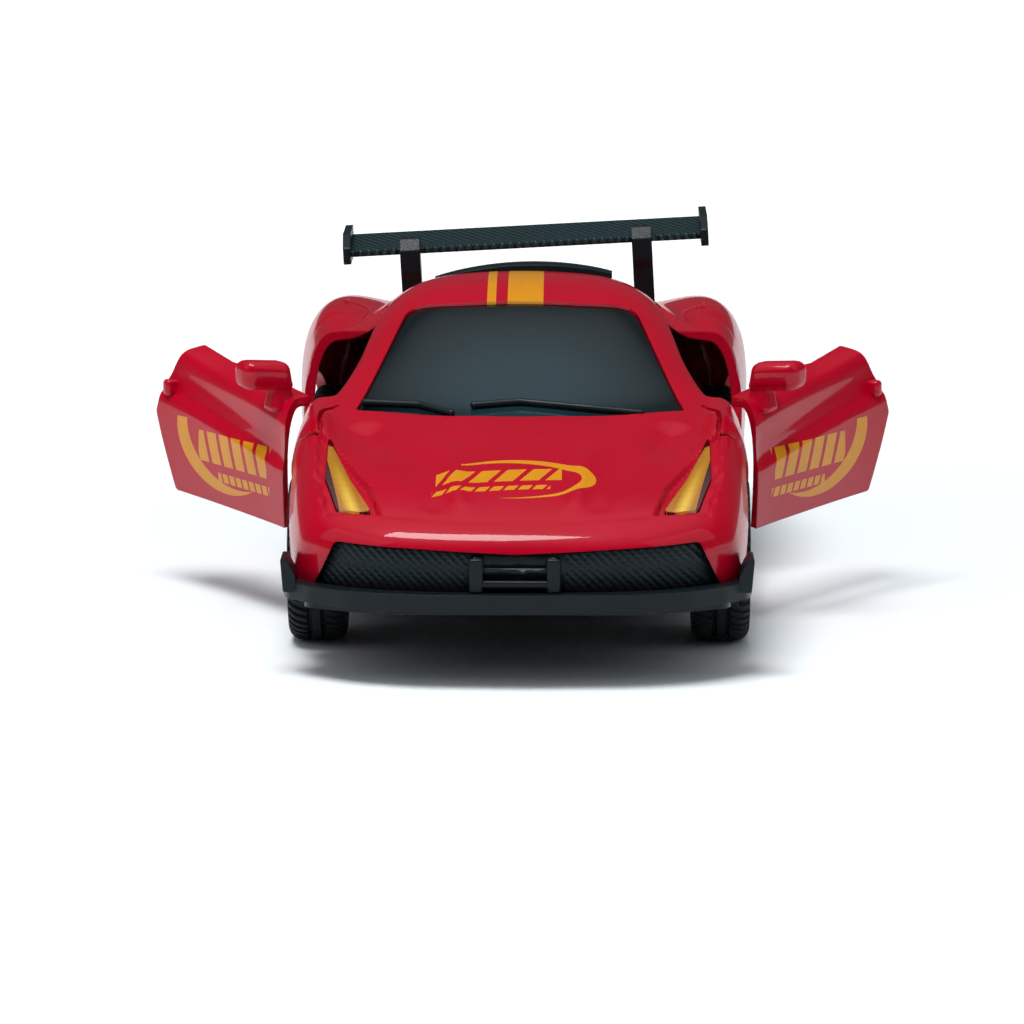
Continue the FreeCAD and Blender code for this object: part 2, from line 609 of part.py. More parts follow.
def base_plate():
    plate = Part.Face(rim_wire(skin(0.5))).extrude(V(0, 0, PLATE_Z - BODY_BASE_Z))
    plate = plate.cut(box(-30, 30, -70, -40.6, 0, 12))
    plate = plate.fuse(box(-17.2, 17.2, -47.1, -40.0, NOSE_LIP_Z - 1.0, NOSE_LIP_Z))
    plate = plate.fuse(box(-17.2, 17.2, -40.6, -39.4, PLATE_Z, NOSE_LIP_Z))
    for y, under in SCREW_SEATS:
        plate = plate.fuse(rod_z(3.2, 0, y, under, BOSS_TOP_Z))
    for y in (FRONT_AXLE_Y, REAR_AXLE_Y):
        for well in both(box(17.4, 30, y - 9.9, y + 9.9, 0, 12)):
            plate = plate.cut(well)
    plate = plate.cut(box(-7.7, 8.1, 25.0, 45.6, 0, 12))
    plate = plate.cut(box(-30, 30, 51.6, 60, 0, 12))
    saddle = box(11.0, 13.4, FRONT_AXLE_Y - 2.6, FRONT_AXLE_Y + 2.6, PLATE_Z + 0.5, AXLE_Z + 2.0)
    saddle = saddle.cut(rod_x(AXLE_R + RUN, 10, 15, FRONT_AXLE_Y, AXLE_Z))
    saddle = saddle.cut(box(10, 15, FRONT_AXLE_Y - 0.8, FRONT_AXLE_Y + 0.8, AXLE_Z, 14))
    for shape in both(saddle):
        plate = plate.fuse(shape)
    for x, y in ear_places():
        plate = plate.fuse(rod_z(0.7, x, y, BODY_BASE_Z - 0.5, BODY_BASE_Z + 1.9))
    for y, under in SCREW_SEATS:
        plate = plate.cut(rod_z(SCREW_R, 0, y, 0, 12))
        plate = plate.cut(rod_z(SCREW_HEAD_R + 0.1, 0, y, 0, under + SCREW_HEAD_SINK))
    for i in range(7):
        y = -14 + 4.0 * i
        plate = plate.cut(fillet(box(-9, 9, y, y + 1.2, 0, PLATE_Z + 0.5), 0.4, along(V(0, 0, 1))))
    return plate


def base_screws():
    out = []
    for y, under in SCREW_SEATS:
        z = under + SCREW_HEAD_SINK
        head = fillet(rod_z(SCREW_HEAD_R, 0, y, z - 1.1, z), 0.4, lambda e: e.BoundBox.ZMax < z - 1.0)
        cross = fuse([box(-1.2, 1.2, y - 0.25, y + 0.25, 0, z - 0.5), box(-0.25, 0.25, y - 1.2, y + 1.2, 0, z - 0.5)])
        out.append(head.fuse(rod_z(SCREW_R, 0, y, z - 0.2, z + 8)).cut(cross))
    return out


# ---- wheels -------------------------------------------------------------------------------------


def turned(profile, x, y):
    """A solid of revolution about the wheel's axle, from (offset along the axle, radius) points."""
    face = Part.Face(Part.makePolygon([V(x + a, y, AXLE_Z + r) for a, r in profile + profile[:1]]))
    return face.revolve(V(x, y, AXLE_Z), V(1, 0, 0), 360)


def tyre(x, y):
    half = TYRE_W / 2
    profile = [(-half + 0.3, RIM_R), (half - 0.3, RIM_R), (half, RIM_R + 0.6), (half, AXLE_Z - 0.9),
               (half - 0.7, AXLE_Z - 0.15), (half - 1.2, AXLE_Z), (1.25, AXLE_Z), (1.25, AXLE_Z - 0.5),
               (0.85, AXLE_Z - 0.5), (0.85, AXLE_Z), (-0.85, AXLE_Z), (-0.85, AXLE_Z - 0.5),
               (-1.25, AXLE_Z - 0.5), (-1.25, AXLE_Z), (-half + 1.2, AXLE_Z), (-half + 0.7, AXLE_Z - 0.15),
               (-half, AXLE_Z - 0.9), (-half, RIM_R + 0.6)]
    return turned(profile, x, y)


def rim(x, y, side):
    """A rim with five pairs of spokes. side is +1 where its face looks towards +X."""
    profile = [(-2.8, RIM_R), (-2.8, 5.5), (1.0, 5.3), (1.0, 2.0), (-2.0, 2.0), (-2.0, AXLE_R),
               (2.2, AXLE_R), (2.2, 0.0), (3.0, 0.0), (3.0, 1.5), (2.3, 2.2), (2.3, 5.3), (2.8, 5.6),
               (2.8, RIM_R)]
    out = turned([(a * side, r) for a, r in profile], x, y)
    for i in range(5):
        for wide, narrow, turn in ((1.55, 0.5, 36.0), (0.5, 0.12, 0.0)):
            window = prism([V(x - 4, y - narrow, AXLE_Z + 2.6), V(x - 4, y - wide, AXLE_Z + 4.9),
                            V(x - 4, y + wide, AXLE_Z + 4.9), V(x - 4, y + narrow, AXLE_Z + 2.6)],
                           V(8, 0, 0), 0.1)
            window.rotate(V(x, y, AXLE_Z), V(1, 0, 0), 72.0 * i + turn)
            out = out.cut(window)
    return out


def axle(y, track):
    half = track / 2 + 2.2
    return rod_x(AXLE_R, -half, half, y, AXLE_Z)


# ---- spring motor -------------------------------------------------------------------------------
def gear(teeth, y, z, x0, x1, tooth_at, bore=0.0):
    """An involute spur gear along X. One tooth points at the angle tooth_at in the y-z plane."""
    pitch_r = MODULE * teeth / 2
    base_r = pitch_r * math.cos(math.radians(20))
    tip_r = pitch_r + MODULE
    root_r = pitch_r - 1.25 * MODULE
    half_pitch = (math.pi * MODULE / 2 - BACKLASH) / (2 * pitch_r)

    def involute(r):
        t = math.sqrt(max((r / base_r) ** 2 - 1, 0))
        return t - math.atan(t)
    half_base = half_pitch + involute(pitch_r)
    start = max(base_r, root_r)
    radii = [start + (tip_r - start) * k / 4 for k in range(5)]
    flank = [(root_r, half_base)] if root_r < base_r else []
    flank += [(r, half_base - involute(r)) for r in radii]
    points = []
    for i in range(teeth):
        mid = math.radians(tooth_at) + 2 * math.pi * i / teeth
        outline = [(r, -a) for r, a in flank] + [(r, a) for r, a in reversed(flank)]
        for r, a in outline:
            points.append(V(x0, y + r * math.cos(mid + a), z + r * math.sin(mid + a)))
    solid = Part.Face(Part.makePolygon(points + points[:1])).extrude(V(x1 - x0, 0, 0))
    return solid.cut(rod_x(bore, x0 - 1, x1 + 1, y, z)) if bore else solid


def offset_point(y, z, distance, angle):
    a = math.radians(angle)
    return y + distance * math.cos(a), z + distance * math.sin(a)


IDLER_Y, IDLER_Z = offset_point(REAR_AXLE_Y, AXLE_Z,
                                MODULE * (AXLE_TEETH + IDLER_TEETH[0]) / 2 + BACKLASH, IDLER_ANGLE)
SPRING_Y, SPRING_Z = offset_point(IDLER_Y, IDLER_Z,
                                  MODULE * (IDLER_TEETH[1] + SPRING_TEETH) / 2 + BACKLASH, SPRING_ANGLE)


def ear_places():
    """Centres of the pegs that hold the motor's ears."""
    return [(x, sum(ys) / 2) for ys in EAR_Y for x in (CASE_X[0] - 1.8, CASE_X[2] + 1.8)]


def motor_case(side):
    """Half of the motor's case: side -1 towards -X, side 1 towards +X."""
    mid = CASE_X[1]
    wall_x = CASE_X[0] if side < 0 else CASE_X[2]
    outer = side_prism(CASE, mid, wall_x, 0.8)
    flat = Part.Face(rounded([V(mid, y, z) for y, z in CASE], 0.8)).makeOffset2D(-CASE_WALL)
    out = outer.cut(flat.extrude(V(wall_x - side * CASE_WALL - mid, 0, 0)))
    for ys in EAR_Y:
        x0, x1 = sorted((wall_x - side * 0.5, wall_x + side * 3.4))
        out = out.fuse(box(x0, x1, ys[0], ys[1], BODY_BASE_Z, BODY_BASE_Z + 1.3))
    for x, y in ear_places():
        out = out.cut(rod_z(0.75, x, y, 5, 10))
    out = out.cut(rod_x(AXLE_R + RUN, -9, 9, REAR_AXLE_Y, AXLE_Z))
    for y, z in ((IDLER_Y, IDLER_Z), (SPRING_Y, SPRING_Z)):
        out = out.cut(rod_x(JOURNAL_R + RUN, -9, 9, y, z))
    return out


def idler_gear():
    big = gear(IDLER_TEETH[0], IDLER_Y, IDLER_Z, *GEAR_X[0], IDLER_ANGLE + 180 + 180 / IDLER_TEETH[0])
    small = gear(IDLER_TEETH[1], IDLER_Y, IDLER_Z, *GEAR_X[1], SPRING_ANGLE)
    hub = rod_x(1.5, GEAR_X[0][1] - 0.2, GEAR_X[1][0] + 0.2, IDLER_Y, IDLER_Z)
    shaft = rod_x(JOURNAL_R, CASE_X[0] + 0.1, CASE_X[2] - 0.1, IDLER_Y, IDLER_Z)
    return fuse([big, small, hub, shaft])


def spring_gear():
    wheel = gear(SPRING_TEETH, SPRING_Y, SPRING_Z, *GEAR_X[1], SPRING_ANGLE + 180 + 180 / SPRING_TEETH)
    arbor = rod_x(1.4, GEAR_X[1][1] - 0.2, SPRING_X[1] + 0.2, SPRING_Y, SPRING_Z)
    shaft = rod_x(JOURNAL_R, CASE_X[0] + 0.1, CASE_X[2] - 0.1, SPRING_Y, SPRING_Z)
    return fuse([wheel, arbor, shaft])


def mainspring():
    """A flat spiral strip round the arbor."""
    thickness, inner, outer, turns, steps = 0.22, 1.75, 6.2, 5.5, 110

    def curve(shift):
        pts = []
        for i in range(steps + 1):
            a = 2 * math.pi * turns * i / steps
            r = inner + (outer - inner - thickness) * i / steps + shift
            pts.append(V(SPRING_X[0], SPRING_Y + r * math.cos(a), SPRING_Z + r * math.sin(a)))
        c = Part.BSplineCurve()
        c.interpolate(pts)
        return c.toShape()
    near, far = curve(0.0), curve(thickness)
    ends = [Part.makeLine(near.Vertexes[i].Point, far.Vertexes[i].Point) for i in (0, 1)]
    wire = Part.Wire(Part.__sortEdges__([near, ends[1], far, ends[0]]))
    return Part.Face(wire).extrude(V(SPRING_X[1] - SPRING_X[0], 0, 0))


# ---- the assembly -------------------------------------------------------------------------------
shell = body_shell()
put("body_shell", shell)
door = door_closed()
put("windscreen", windscreen)
put("windscreen_wipers", *[w.cut(shell).cut(windscreen) for w in wipers()])
put("engine_cover", engine_cover())
put("grille_insert", grille_insert())
put("front_splitter", front_splitter())
put("rear_wing", rear_wing())
put("rear_diffuser", rear_diffuser())
put("exhaust_tips", *both(exhaust_tube(EXHAUST_R, EXHAUST_R - 0.45)))
put("interior_tub", interior_tub())
put("steering_wheel", steering_wheel())
put("base_plate", base_plate())
put("base_screws", *base_screws())
for side, sign in (("left", 1), ("right", -1)):
    put("door_" + side, opened(door, sign))
    put("headlight_" + side, lamp if sign > 0 else mirrored(lamp))
    put("tail_light_" + side, tail_lamp if sign > 0 else mirrored(tail_lamp))
for end, y, track in (("front", FRONT_AXLE_Y, FRONT_TRACK), ("rear", REAR_AXLE_Y, REAR_TRACK)):
    put(end + "_axle", axle(y, track))
    for side, sign in (("left", 1), ("right", -1)):
        put("rim_%s_%s" % (end, side), rim(sign * track / 2, y, sign))
        put("tyre_%s_%s" % (end, side), tyre(sign * track / 2, y))
put("axle_gear", gear(AXLE_TEETH, REAR_AXLE_Y, AXLE_Z, *GEAR_X[0], IDLER_ANGLE, AXLE_R))
put("idler_gear", idler_gear())
put("spring_gear", spring_gear())
put("mainspring", mainspring())
put("motor_case_left", motor_case(1))
put("motor_case_right", motor_case(-1))

for name, shape in NODES.items():
    shape.exportStep("parts/%s.step" % name)
    if not shape.isValid() or shape.Volume <= 0:
        print("check", name, shape.isValid(), round(shape.Volume, 2))
print(len(NODES), "nodes")
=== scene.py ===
"""The looks of the pull-back toy car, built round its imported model.

Blender works in metres. Sizes below are millimetres, which MM turns into metres, except for the
lights and the floor, which are metres already. The nose points along -Y, +X is the car's own left
side, and the doors are drawn open, which is their rest pose.
"""
import json
import math

import bmesh
import bpy
import numpy as np
from mathutils import Matrix, Vector
from mathutils.bvhtree import BVHTree


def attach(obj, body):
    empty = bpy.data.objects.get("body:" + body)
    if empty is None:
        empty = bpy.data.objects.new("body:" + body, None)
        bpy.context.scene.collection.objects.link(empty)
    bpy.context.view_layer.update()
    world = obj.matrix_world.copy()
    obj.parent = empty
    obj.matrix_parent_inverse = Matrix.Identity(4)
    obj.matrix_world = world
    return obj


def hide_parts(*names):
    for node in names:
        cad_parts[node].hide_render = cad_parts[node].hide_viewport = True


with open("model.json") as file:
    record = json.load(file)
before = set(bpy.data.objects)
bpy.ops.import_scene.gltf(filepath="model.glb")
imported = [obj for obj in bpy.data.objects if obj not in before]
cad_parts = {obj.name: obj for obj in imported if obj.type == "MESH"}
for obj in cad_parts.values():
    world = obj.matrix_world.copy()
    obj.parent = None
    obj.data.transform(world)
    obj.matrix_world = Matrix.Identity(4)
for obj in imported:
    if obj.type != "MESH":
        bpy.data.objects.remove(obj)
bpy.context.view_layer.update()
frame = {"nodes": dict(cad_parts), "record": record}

MM = 0.001
SLOT_OF = {part["node"]: part["material_slot"] for part in frame["record"]["subparts"]}
BODY_OF = {node: body for body, nodes in frame["record"]["behaviour"]["bodies"].items() for node in nodes}

# ---- the design's driving dimensions, in millimetres ----
NOSE_Y = -60.3
TAIL_Y = 57.8
BASE_Z = 7.0
NOSE_LIP_Z = 8.2
WALL = 1.2
DOOR_WALL = 1.1
FRONT_AXLE_Y = -30.4
REAR_AXLE_Y = 39.2
AXLE_Z = 9.0
FRONT_TRACK = 43.2
REAR_TRACK = 43.6
TYRE_W = 6.2
HINGE = (20.3, -21.0)
DOOR_OPEN = 30.0
DOOR_SHUT_R = 5.6
SHUT_GAP = 0.25
WING_LEAN = 3.1
LEAN_SLOPE = math.tan(math.radians(WING_LEAN))
WING_PIVOT = (0, 55, 33.8)
ARCH_X = 16.5
DOOR_INNER_X = 20.35
DOORWAY_INNER_X = 12.5
CLEAR_X = 30
STAY_X = 13.9
STAY_SLOT_HALF_W = 1.25
STAY_SLOT_Y = (49.55, 52.85)

# ---- camera, floor and light ----
CAMERA_AIM = Vector((-0.8, -29.7, 13.7)) * MM
CAMERA_DISTANCE = 670 * MM
CAMERA_DOWN = math.radians(9.0)
CAMERA_TURN = math.radians(0.6)
CAMERA_LENS = 218.7
CAR_MIDDLE = Vector((0, 0, 0.015))
SIDE_TINT = (0.92, 0.99, 1.0)
ROOM_COLOUR = (0.86, 0.96, 1.0, 1)
ROOM_RISE = (0.58, 0.98)
ROOM_STRENGTH = (0.08, 0.85)
FLOOR_HALF = 3.0
FLOOR_GLOW = (45.0, 460.0)


def linked(name, data):
    """A new object with this data, in the scene."""
    obj = bpy.data.objects.new(name, data)
    bpy.context.scene.collection.objects.link(obj)
    return obj


def set_range(node, source, target):
    """Sets a Map Range node to carry the source's two ends to the target's."""
    for socket, number in zip(("From Min", "From Max", "To Min", "To Max"), (*source, *target)):
        node.inputs[socket].default_value = number


def camera():
    """A long lens just off the car's nose, looking a little down."""
    look = Vector((-math.sin(CAMERA_TURN) * math.cos(CAMERA_DOWN),
                   math.cos(CAMERA_TURN) * math.cos(CAMERA_DOWN), -math.sin(CAMERA_DOWN)))
    data = bpy.data.cameras.new("camera")
    data.lens = CAMERA_LENS
    data.sensor_width = 36
    data.clip_start = 0.01
    data.clip_end = 50
    obj = linked("camera", data)
    obj.location = CAMERA_AIM - look * CAMERA_DISTANCE
    obj.rotation_euler = look.to_track_quat("-Z", "Y").to_euler()
    bpy.context.scene.camera = obj


def softbox(name, place, size, power, tint=(1, 1, 1)):
    """An area light that faces the car."""
    data = bpy.data.lights.new(name, "AREA")
    data.shape = "RECTANGLE"
    data.size, data.size_y = size
    data.energy = power
    data.color = tint
    obj = linked(name, data)
    obj.location = place
    obj.rotation_euler = (CAR_MIDDLE - Vector(place)).to_track_quat("-Z", "Y").to_euler()


def studio():
    """Wide softboxes overhead and at the sides, in a room that is brighter above than around the car."""
    softbox("top_softbox", (-0.10, -0.16, 0.60), (0.32, 0.20), 3.5)
    for name, side in (("left_softbox", 1), ("right_softbox", -1)):
        softbox(name, (side * 0.60, -0.25, 0.42), (0.60, 0.50), 0.6, SIDE_TINT)
    world = bpy.data.worlds.new("studio")
    world.use_nodes = True
    tree = world.node_tree
    room = tree.nodes["Background"]
    room.inputs["Color"].default_value = ROOM_COLOUR
    way = tree.nodes.new("ShaderNodeTexCoord")
    split = tree.nodes.new("ShaderNodeSeparateXYZ")
    climb = tree.nodes.new("ShaderNodeMapRange")
    set_range(climb, ROOM_RISE, ROOM_STRENGTH)
    tree.links.new(way.outputs["Generated"], split.inputs[0])
    tree.links.new(split.outputs[2], climb.inputs["Value"])
    tree.links.new(climb.outputs[0], room.inputs["Strength"])
    bpy.context.scene.world = world
    bpy.context.scene.view_settings.view_transform = "Standard"


# ---- materials ----
class Finish:
    """A Principled material, with short calls for the nodes that carry its detail."""

    def __init__(self, name, turned=None, **sockets):
        """turned is (pivot, angle): the detail is laid out in axes turned about that upright line."""
        self.mat = bpy.data.materials.new(name)
        self.mat.use_nodes = True
        self.tree = self.mat.node_tree
        self.shader = self.tree.nodes["Principled BSDF"]
        for socket, value in sockets.items():
            self.shader.inputs[socket.replace("_", " ")].default_value = value
        self.coords = self.node("ShaderNodeTexCoord")
        scaled = self.node("ShaderNodeVectorMath", operation="SCALE")
        self.join(self.coords.outputs["Object"], scaled.inputs[0])
        scaled.inputs["Scale"].default_value = 1 / MM
        self.place = scaled.outputs[0]
        if turned:
            turn = self.node("ShaderNodeVectorRotate", rotation_type="Z_AXIS")
            turn.inputs["Center"].default_value = turned[0]
            turn.inputs["Angle"].default_value = turned[1]
            self.join(self.place, turn.inputs["Vector"])
            self.place = turn.outputs[0]
        split = self.node("ShaderNodeSeparateXYZ")
        self.join(self.place, split.inputs[0])
        self.x, self.y, self.z = split.outputs

    def node(self, kind, **settings):
        made = self.tree.nodes.new(kind)
        for key, value in settings.items():
            setattr(made, key, value)
        return made

    def join(self, out, socket):
        self.tree.links.new(out, socket)

    def feed(self, socket, value):
        if isinstance(value, (int, float)):
            socket.default_value = value
        else:
            self.join(value, socket)

    def calc(self, operation, *values):
        made = self.node("ShaderNodeMath", operation=operation)
        for socket, value in zip(made.inputs, values):
            self.feed(socket, value)
        return made.outputs[0]

    def above(self, value, limit):
        return self.calc("GREATER_THAN", value, limit)

    def below(self, value, limit):
        return self.calc("LESS_THAN", value, limit)

    def apart(self, value):
        """How far a value is from zero."""
        return self.calc("ABSOLUTE", value)

    def every(self, *masks):
        """The overlap of masks."""
        out = masks[0]
        for mask in masks[1:]:
            out = self.calc("MULTIPLY", out, mask)
        return out

    def any(self, *masks):
        """Where at least one of the masks is."""
        out = masks[0]
        for mask in masks[1:]:
            out = self.calc("MAXIMUM", out, mask)
        return out

    def between(self, value, low, high):
        return self.every(self.above(value, low), self.below(value, high))

    def facing(self, way):
        """1 where the surface looks roughly along way, a direction in the piece's own axes."""
        made = self.node("ShaderNodeVectorMath", operation="DOT_PRODUCT")
        self.join(self.coords.outputs["Normal"], made.inputs[0])
        made.inputs[1].default_value = way
        return self.above(made.outputs["Value"], 0.3)

    def noise(self, size, detail=2.0):
        """Noise with lumps of about this many millimetres."""
        made = self.node("ShaderNodeTexNoise")
        made.inputs["Scale"].default_value = 1 / size
        made.inputs["Detail"].default_value = detail
        self.join(self.place, made.inputs["Vector"])
        return made.outputs["Fac"]

    def spread(self, value, low, high, start=0.0, end=1.0):
        """low to high as the value goes from start to end."""
        made = self.node("ShaderNodeMapRange")
        self.feed(made.inputs["Value"], value)
        set_range(made, (start, end), (low, high))
        return made.outputs[0]

    def blend(self, mask, first, second):
        """The first colour where the mask is 0, and the second where it is 1."""
        made = self.node("ShaderNodeMix", data_type="RGBA")
        self.feed(made.inputs["Factor"], mask)
        for name, value in (("A", first), ("B", second)):
            socket = [s for s in made.inputs if s.name == name and s.type == "RGBA"][0]
            if isinstance(value, tuple):
                socket.default_value = (*value, 1)
            else:
                self.join(value, socket)
        return [s for s in made.outputs if s.type == "RGBA"][0]

    def colour(self, value):
        self.join(value, self.shader.inputs["Base Color"])

    def rough(self, value):
        self.join(value, self.shader.inputs["Roughness"])

    def bump(self, height, depth, strength=1.0, round_edge=0.0):
        """Relief of this depth in millimetres. Sharp edges shade as if rounded to round_edge."""
        made = self.node("ShaderNodeBump")
        made.inputs["Strength"].default_value = strength
        made.inputs["Distance"].default_value = depth * MM
        self.join(height, made.inputs["Height"])
        if round_edge:
            edge = self.node("ShaderNodeBevel", samples=4)
            edge.inputs["Radius"].default_value = round_edge * MM
            self.join(edge.outputs[0], made.inputs["Normal"])
        self.join(made.outputs[0], self.shader.inputs["Normal"])
        return self.mat

    def ellipse(self, across, along, centre, radii):
        """Less than 1 inside the ellipse."""
        parts = []
        for value, middle, radius in zip((across, along), centre, radii):
            offset = self.calc("DIVIDE", self.calc("SUBTRACT", value, middle), radius)
            parts.append(self.calc("MULTIPLY", offset, offset))
        return self.calc("ADD", *parts)

    def crescent(self, across, along, outer, inner):
        """Inside the outer ellipse and outside the inner one. Each is (centre, radii)."""
        return self.every(self.below(self.ellipse(across, along, *outer), 1.0),
                          self.above(self.ellipse(across, along, *inner), 1.0))

    def ticks(self, across, along, span, rise, pitch, slant=0.45, filled=0.74):
        """A row of slanted blocks, span wide and rise high, each given as (low, high)."""
        leaned = self.calc("SUBTRACT", across, self.calc("MULTIPLY", along, slant))
        share = self.calc("FRACT", self.calc("DIVIDE", leaned, pitch))
        return self.every(self.below(share, filled), self.between(across, *span),
                          self.between(along, *rise))


CRIMSON = (0.46, 0.0, 0.018)
CRIMSON_DEEP = (0.38, 0.0, 0.011)
DECAL_YELLOW = (0.66, 0.27, 0.006)
DECAL_WORN = (0.60, 0.22, 0.008)
BLACK = (0.002, 0.006, 0.008)
BLACK_GREY = (0.004, 0.010, 0.012)
BLACK_RIB_HIGHLIGHT = (0.022, 0.050, 0.058)
GLASS_PAINTED_SHADE = (0.001, 0.003, 0.004)
GLASS_PAINTED_LIGHT = (0.012, 0.034, 0.044)
GLASS_HAZE = (0.004, 0.012, 0.016)
AMBER = (0.42, 0.15, 0.0)
AMBER_HIGHLIGHT = (0.86, 0.55, 0.05)
LAMP_BEZEL_AND_SHADE = (0.05, 0.004, 0.006)
LENS_PAINTED_LIT = (0.30, 0.003, 0.003)
LENS_PAINTED_SHADED = (0.10, 0.0, 0.0)
RUBBER = (0.003, 0.006, 0.007)
RUBBER_WORN = (0.008, 0.012, 0.014)


def enamel(name, decals, turned=None):
    """Glossy red enamel over zinc, with yellow printed marks where decals says."""
    f = Finish(name, turned, Roughness=0.40, Coat_Weight=0.45, Coat_Roughness=0.03,
               Specular_IOR_Level=0.05)
    red = f.blend(f.noise(9.0), CRIMSON, CRIMSON_DEEP)
    ink = f.blend(f.noise(1.3, 4.0), DECAL_YELLOW, DECAL_WORN)
    marks = decals(f)
    if turned:
        # only the outside of a door is printed
        pivot, angle = turned
        out = math.copysign(1, pivot[0])
        marks = f.every(marks, f.facing((out * math.cos(angle), -out * math.sin(angle), 0)))
    f.colour(f.blend(marks, red, ink))
    f.rough(f.spread(f.noise(4.0), 0.30, 0.42))
    orange_peel = f.noise(1.1, 1.0)
    return f.bump(orange_peel, 0.010, 0.5, round_edge=0.28)


def body_decals(f):
    """Two stripes along the roof, and on the hood a sweep round two rows of blocks."""
    stripes = f.every(f.any(f.between(f.x, -3.9, -2.9), f.between(f.x, -1.6, 2.4)),
                      f.between(f.y, -1.0, 60.0), f.above(f.z, 20.0))
    sweep = f.crescent(f.x, f.y, ((-0.4, -46.9), (8.6, 5.3)), ((-1.6, -47.3), (8.3, 4.8)))
    sweep = f.every(sweep, f.above(f.x, -6.0))
    level = f.calc("SUBTRACT", f.y, f.calc("MULTIPLY", f.x, 0.09))
    rows = [f.ticks(f.x, level, (-8.6, 4.6), (-47.6, -44.4), 2.7),
            f.ticks(f.x, level, (-9.0, 3.4), (-50.0, -48.9), 1.5)]
    hood = f.every(f.any(sweep, *rows), f.above(f.z, 14.0))
    return f.any(stripes, hood)


def door_decals(f):
    """A hooked sweep round two rows of blocks."""
    sweep = f.crescent(f.y, f.z, ((-3.0, 19.2), (11.6, 7.1)), ((-5.6, 20.2), (12.1, 7.3)))
    sweep = f.every(sweep, f.below(f.z, 19.6))
    rows = [f.ticks(f.y, f.z, (-13.0, 3.6), (15.2, 18.6), 2.9),
            f.ticks(f.y, f.z, (-13.6, -1.0), (13.3, 14.3), 1.6)]
    outside = f.above(f.apart(f.x), 23.2)
    return f.every(f.any(sweep, *rows), outside)


def black_moulding(name, pattern=None, relief=0.1):
    """Satin black plastic with a fine moulded grain, and a raised pattern where one is given, whose ribs
    carry a painted highlight.
    """
    f = Finish(name, Roughness=0.42, Specular_IOR_Level=0.22)
    black = f.blend(f.noise(2.5, 3.0), BLACK, BLACK_GREY)
    f.rough(f.spread(f.noise(0.35, 3.0), 0.30, 0.46))
    height = f.calc("MULTIPLY", f.noise(0.18, 2.0), 0.12)
    if pattern:
        raised = pattern(f)
        height = f.calc("ADD", height, raised)
        # painted highlight: the raised ribs are coloured a lighter teal grey, as if lit on their tops
        black = f.blend(f.calc("MULTIPLY", raised, 2.5 * relief), black, BLACK_RIB_HIGHLIGHT)
    f.colour(black)
    return f.bump(height, relief, 0.8, round_edge=0.12)


def wave(f, value, pitch):
    """A ridge pattern from 0 to 1 across value, in millimetres."""
    turn = f.calc("MULTIPLY", value, 2 * math.pi / pitch)
    return f.calc("MULTIPLY_ADD", f.calc("SINE", turn), 0.5, 0.5)


def wing_weave(f):
    """Diagonal ribs on the blade, none on its end plates and stays."""
    ribs = wave(f, f.calc("ADD", f.x, f.calc("MULTIPLY", f.y, 0.6)), 1.0)
    tilt = f.calc("MULTIPLY", f.x, LEAN_SLOPE)
    from_stay = f.apart(f.calc("SUBTRACT", f.apart(f.x), STAY_X))
    clear = f.any(f.above(from_stay, 1.35), f.above(f.y, 53.4))
    blade = f.every(f.below(f.apart(f.x), 20.9), clear,
                    f.above(f.calc("SUBTRACT", f.z, tilt), 32.6))
    return f.every(ribs, blade)


def mesh_weave(f):
    """The diamond net of the front grille, on both sides of the plain duct frame."""
    rise = wave(f, f.calc("ADD", f.x, f.z), 0.9)
    fall = wave(f, f.calc("SUBTRACT", f.x, f.z), 0.9)
    net = f.calc("MAXIMUM", rise, f.calc("MULTIPLY", fall, 0.5))
    return f.every(net, f.above(f.apart(f.x), 5.0))


def smoked_glazing():
    """Glossy, nearly black plastic glass, with painted light and painted shade across it."""
    f = Finish("smoked_glazing", Roughness=0.06, Coat_Weight=0.25, Coat_Roughness=0.03,
               Transmission_Weight=0.2, Specular_IOR_Level=0.35, IOR=1.46)
    # painted light, palest low in the middle, and painted shade, black towards the roof and the pillars
    middle = f.spread(f.apart(f.x), 1.0, 0.0, 4.0, 17.0)
    low = f.spread(f.y, 1.0, 0.0, -16.0, -2.0)
    painted_light_mix = f.blend(f.every(middle, low), GLASS_PAINTED_SHADE, GLASS_PAINTED_LIGHT)
    f.colour(f.blend(f.calc("MULTIPLY", f.noise(6.0), 0.25), painted_light_mix, GLASS_HAZE))
    f.rough(f.spread(f.noise(2.0), 0.04, 0.10))
    return f.bump(f.noise(6.0, 1.0), 0.006, 0.3)


def headlamp():
    """Amber plastic in a very dark red surround, which is partly a dark bezel and partly painted shade,
    with a painted highlight streak down the middle, brightest at its front end.
    """
    f = Finish("amber_lens", Roughness=0.12, Coat_Weight=0.8, Coat_Roughness=0.04)
    side = f.apart(f.x)
    middle = f.calc("ADD", f.calc("MULTIPLY", f.calc("ADD", f.y, 36.0), 0.20), 20.2)
    off = f.calc("SUBTRACT", side, middle)
    # painted highlight: a bright streak along the lamp, fading towards its back end
    highlight_streak = f.every(f.spread(f.apart(f.calc("SUBTRACT", off, 0.15)), 1.0, 0.0, 0.1, 0.9),
                   f.spread(f.y, 1.0, 0.15, -50.0, -40.0))
    amber = f.blend(f.every(highlight_streak, f.spread(f.noise(0.9, 3.0), 0.6, 1.0)), AMBER, AMBER_HIGHLIGHT)
    # the dark surround at the lamp's ends and outer strip is partly a dark bezel and partly painted shade
    edge = f.any(f.below(f.y, -52.6), f.above(f.y, -35.5),
                 f.above(off, f.spread(f.y, 1.5, 0.75, -52.0, -38.0)))
    f.colour(f.blend(edge, amber, LAMP_BEZEL_AND_SHADE))
    f.rough(f.spread(f.noise(1.0), 0.08, 0.2))
    return f.bump(wave(f, f.y, 1.3), 0.02, 0.5)


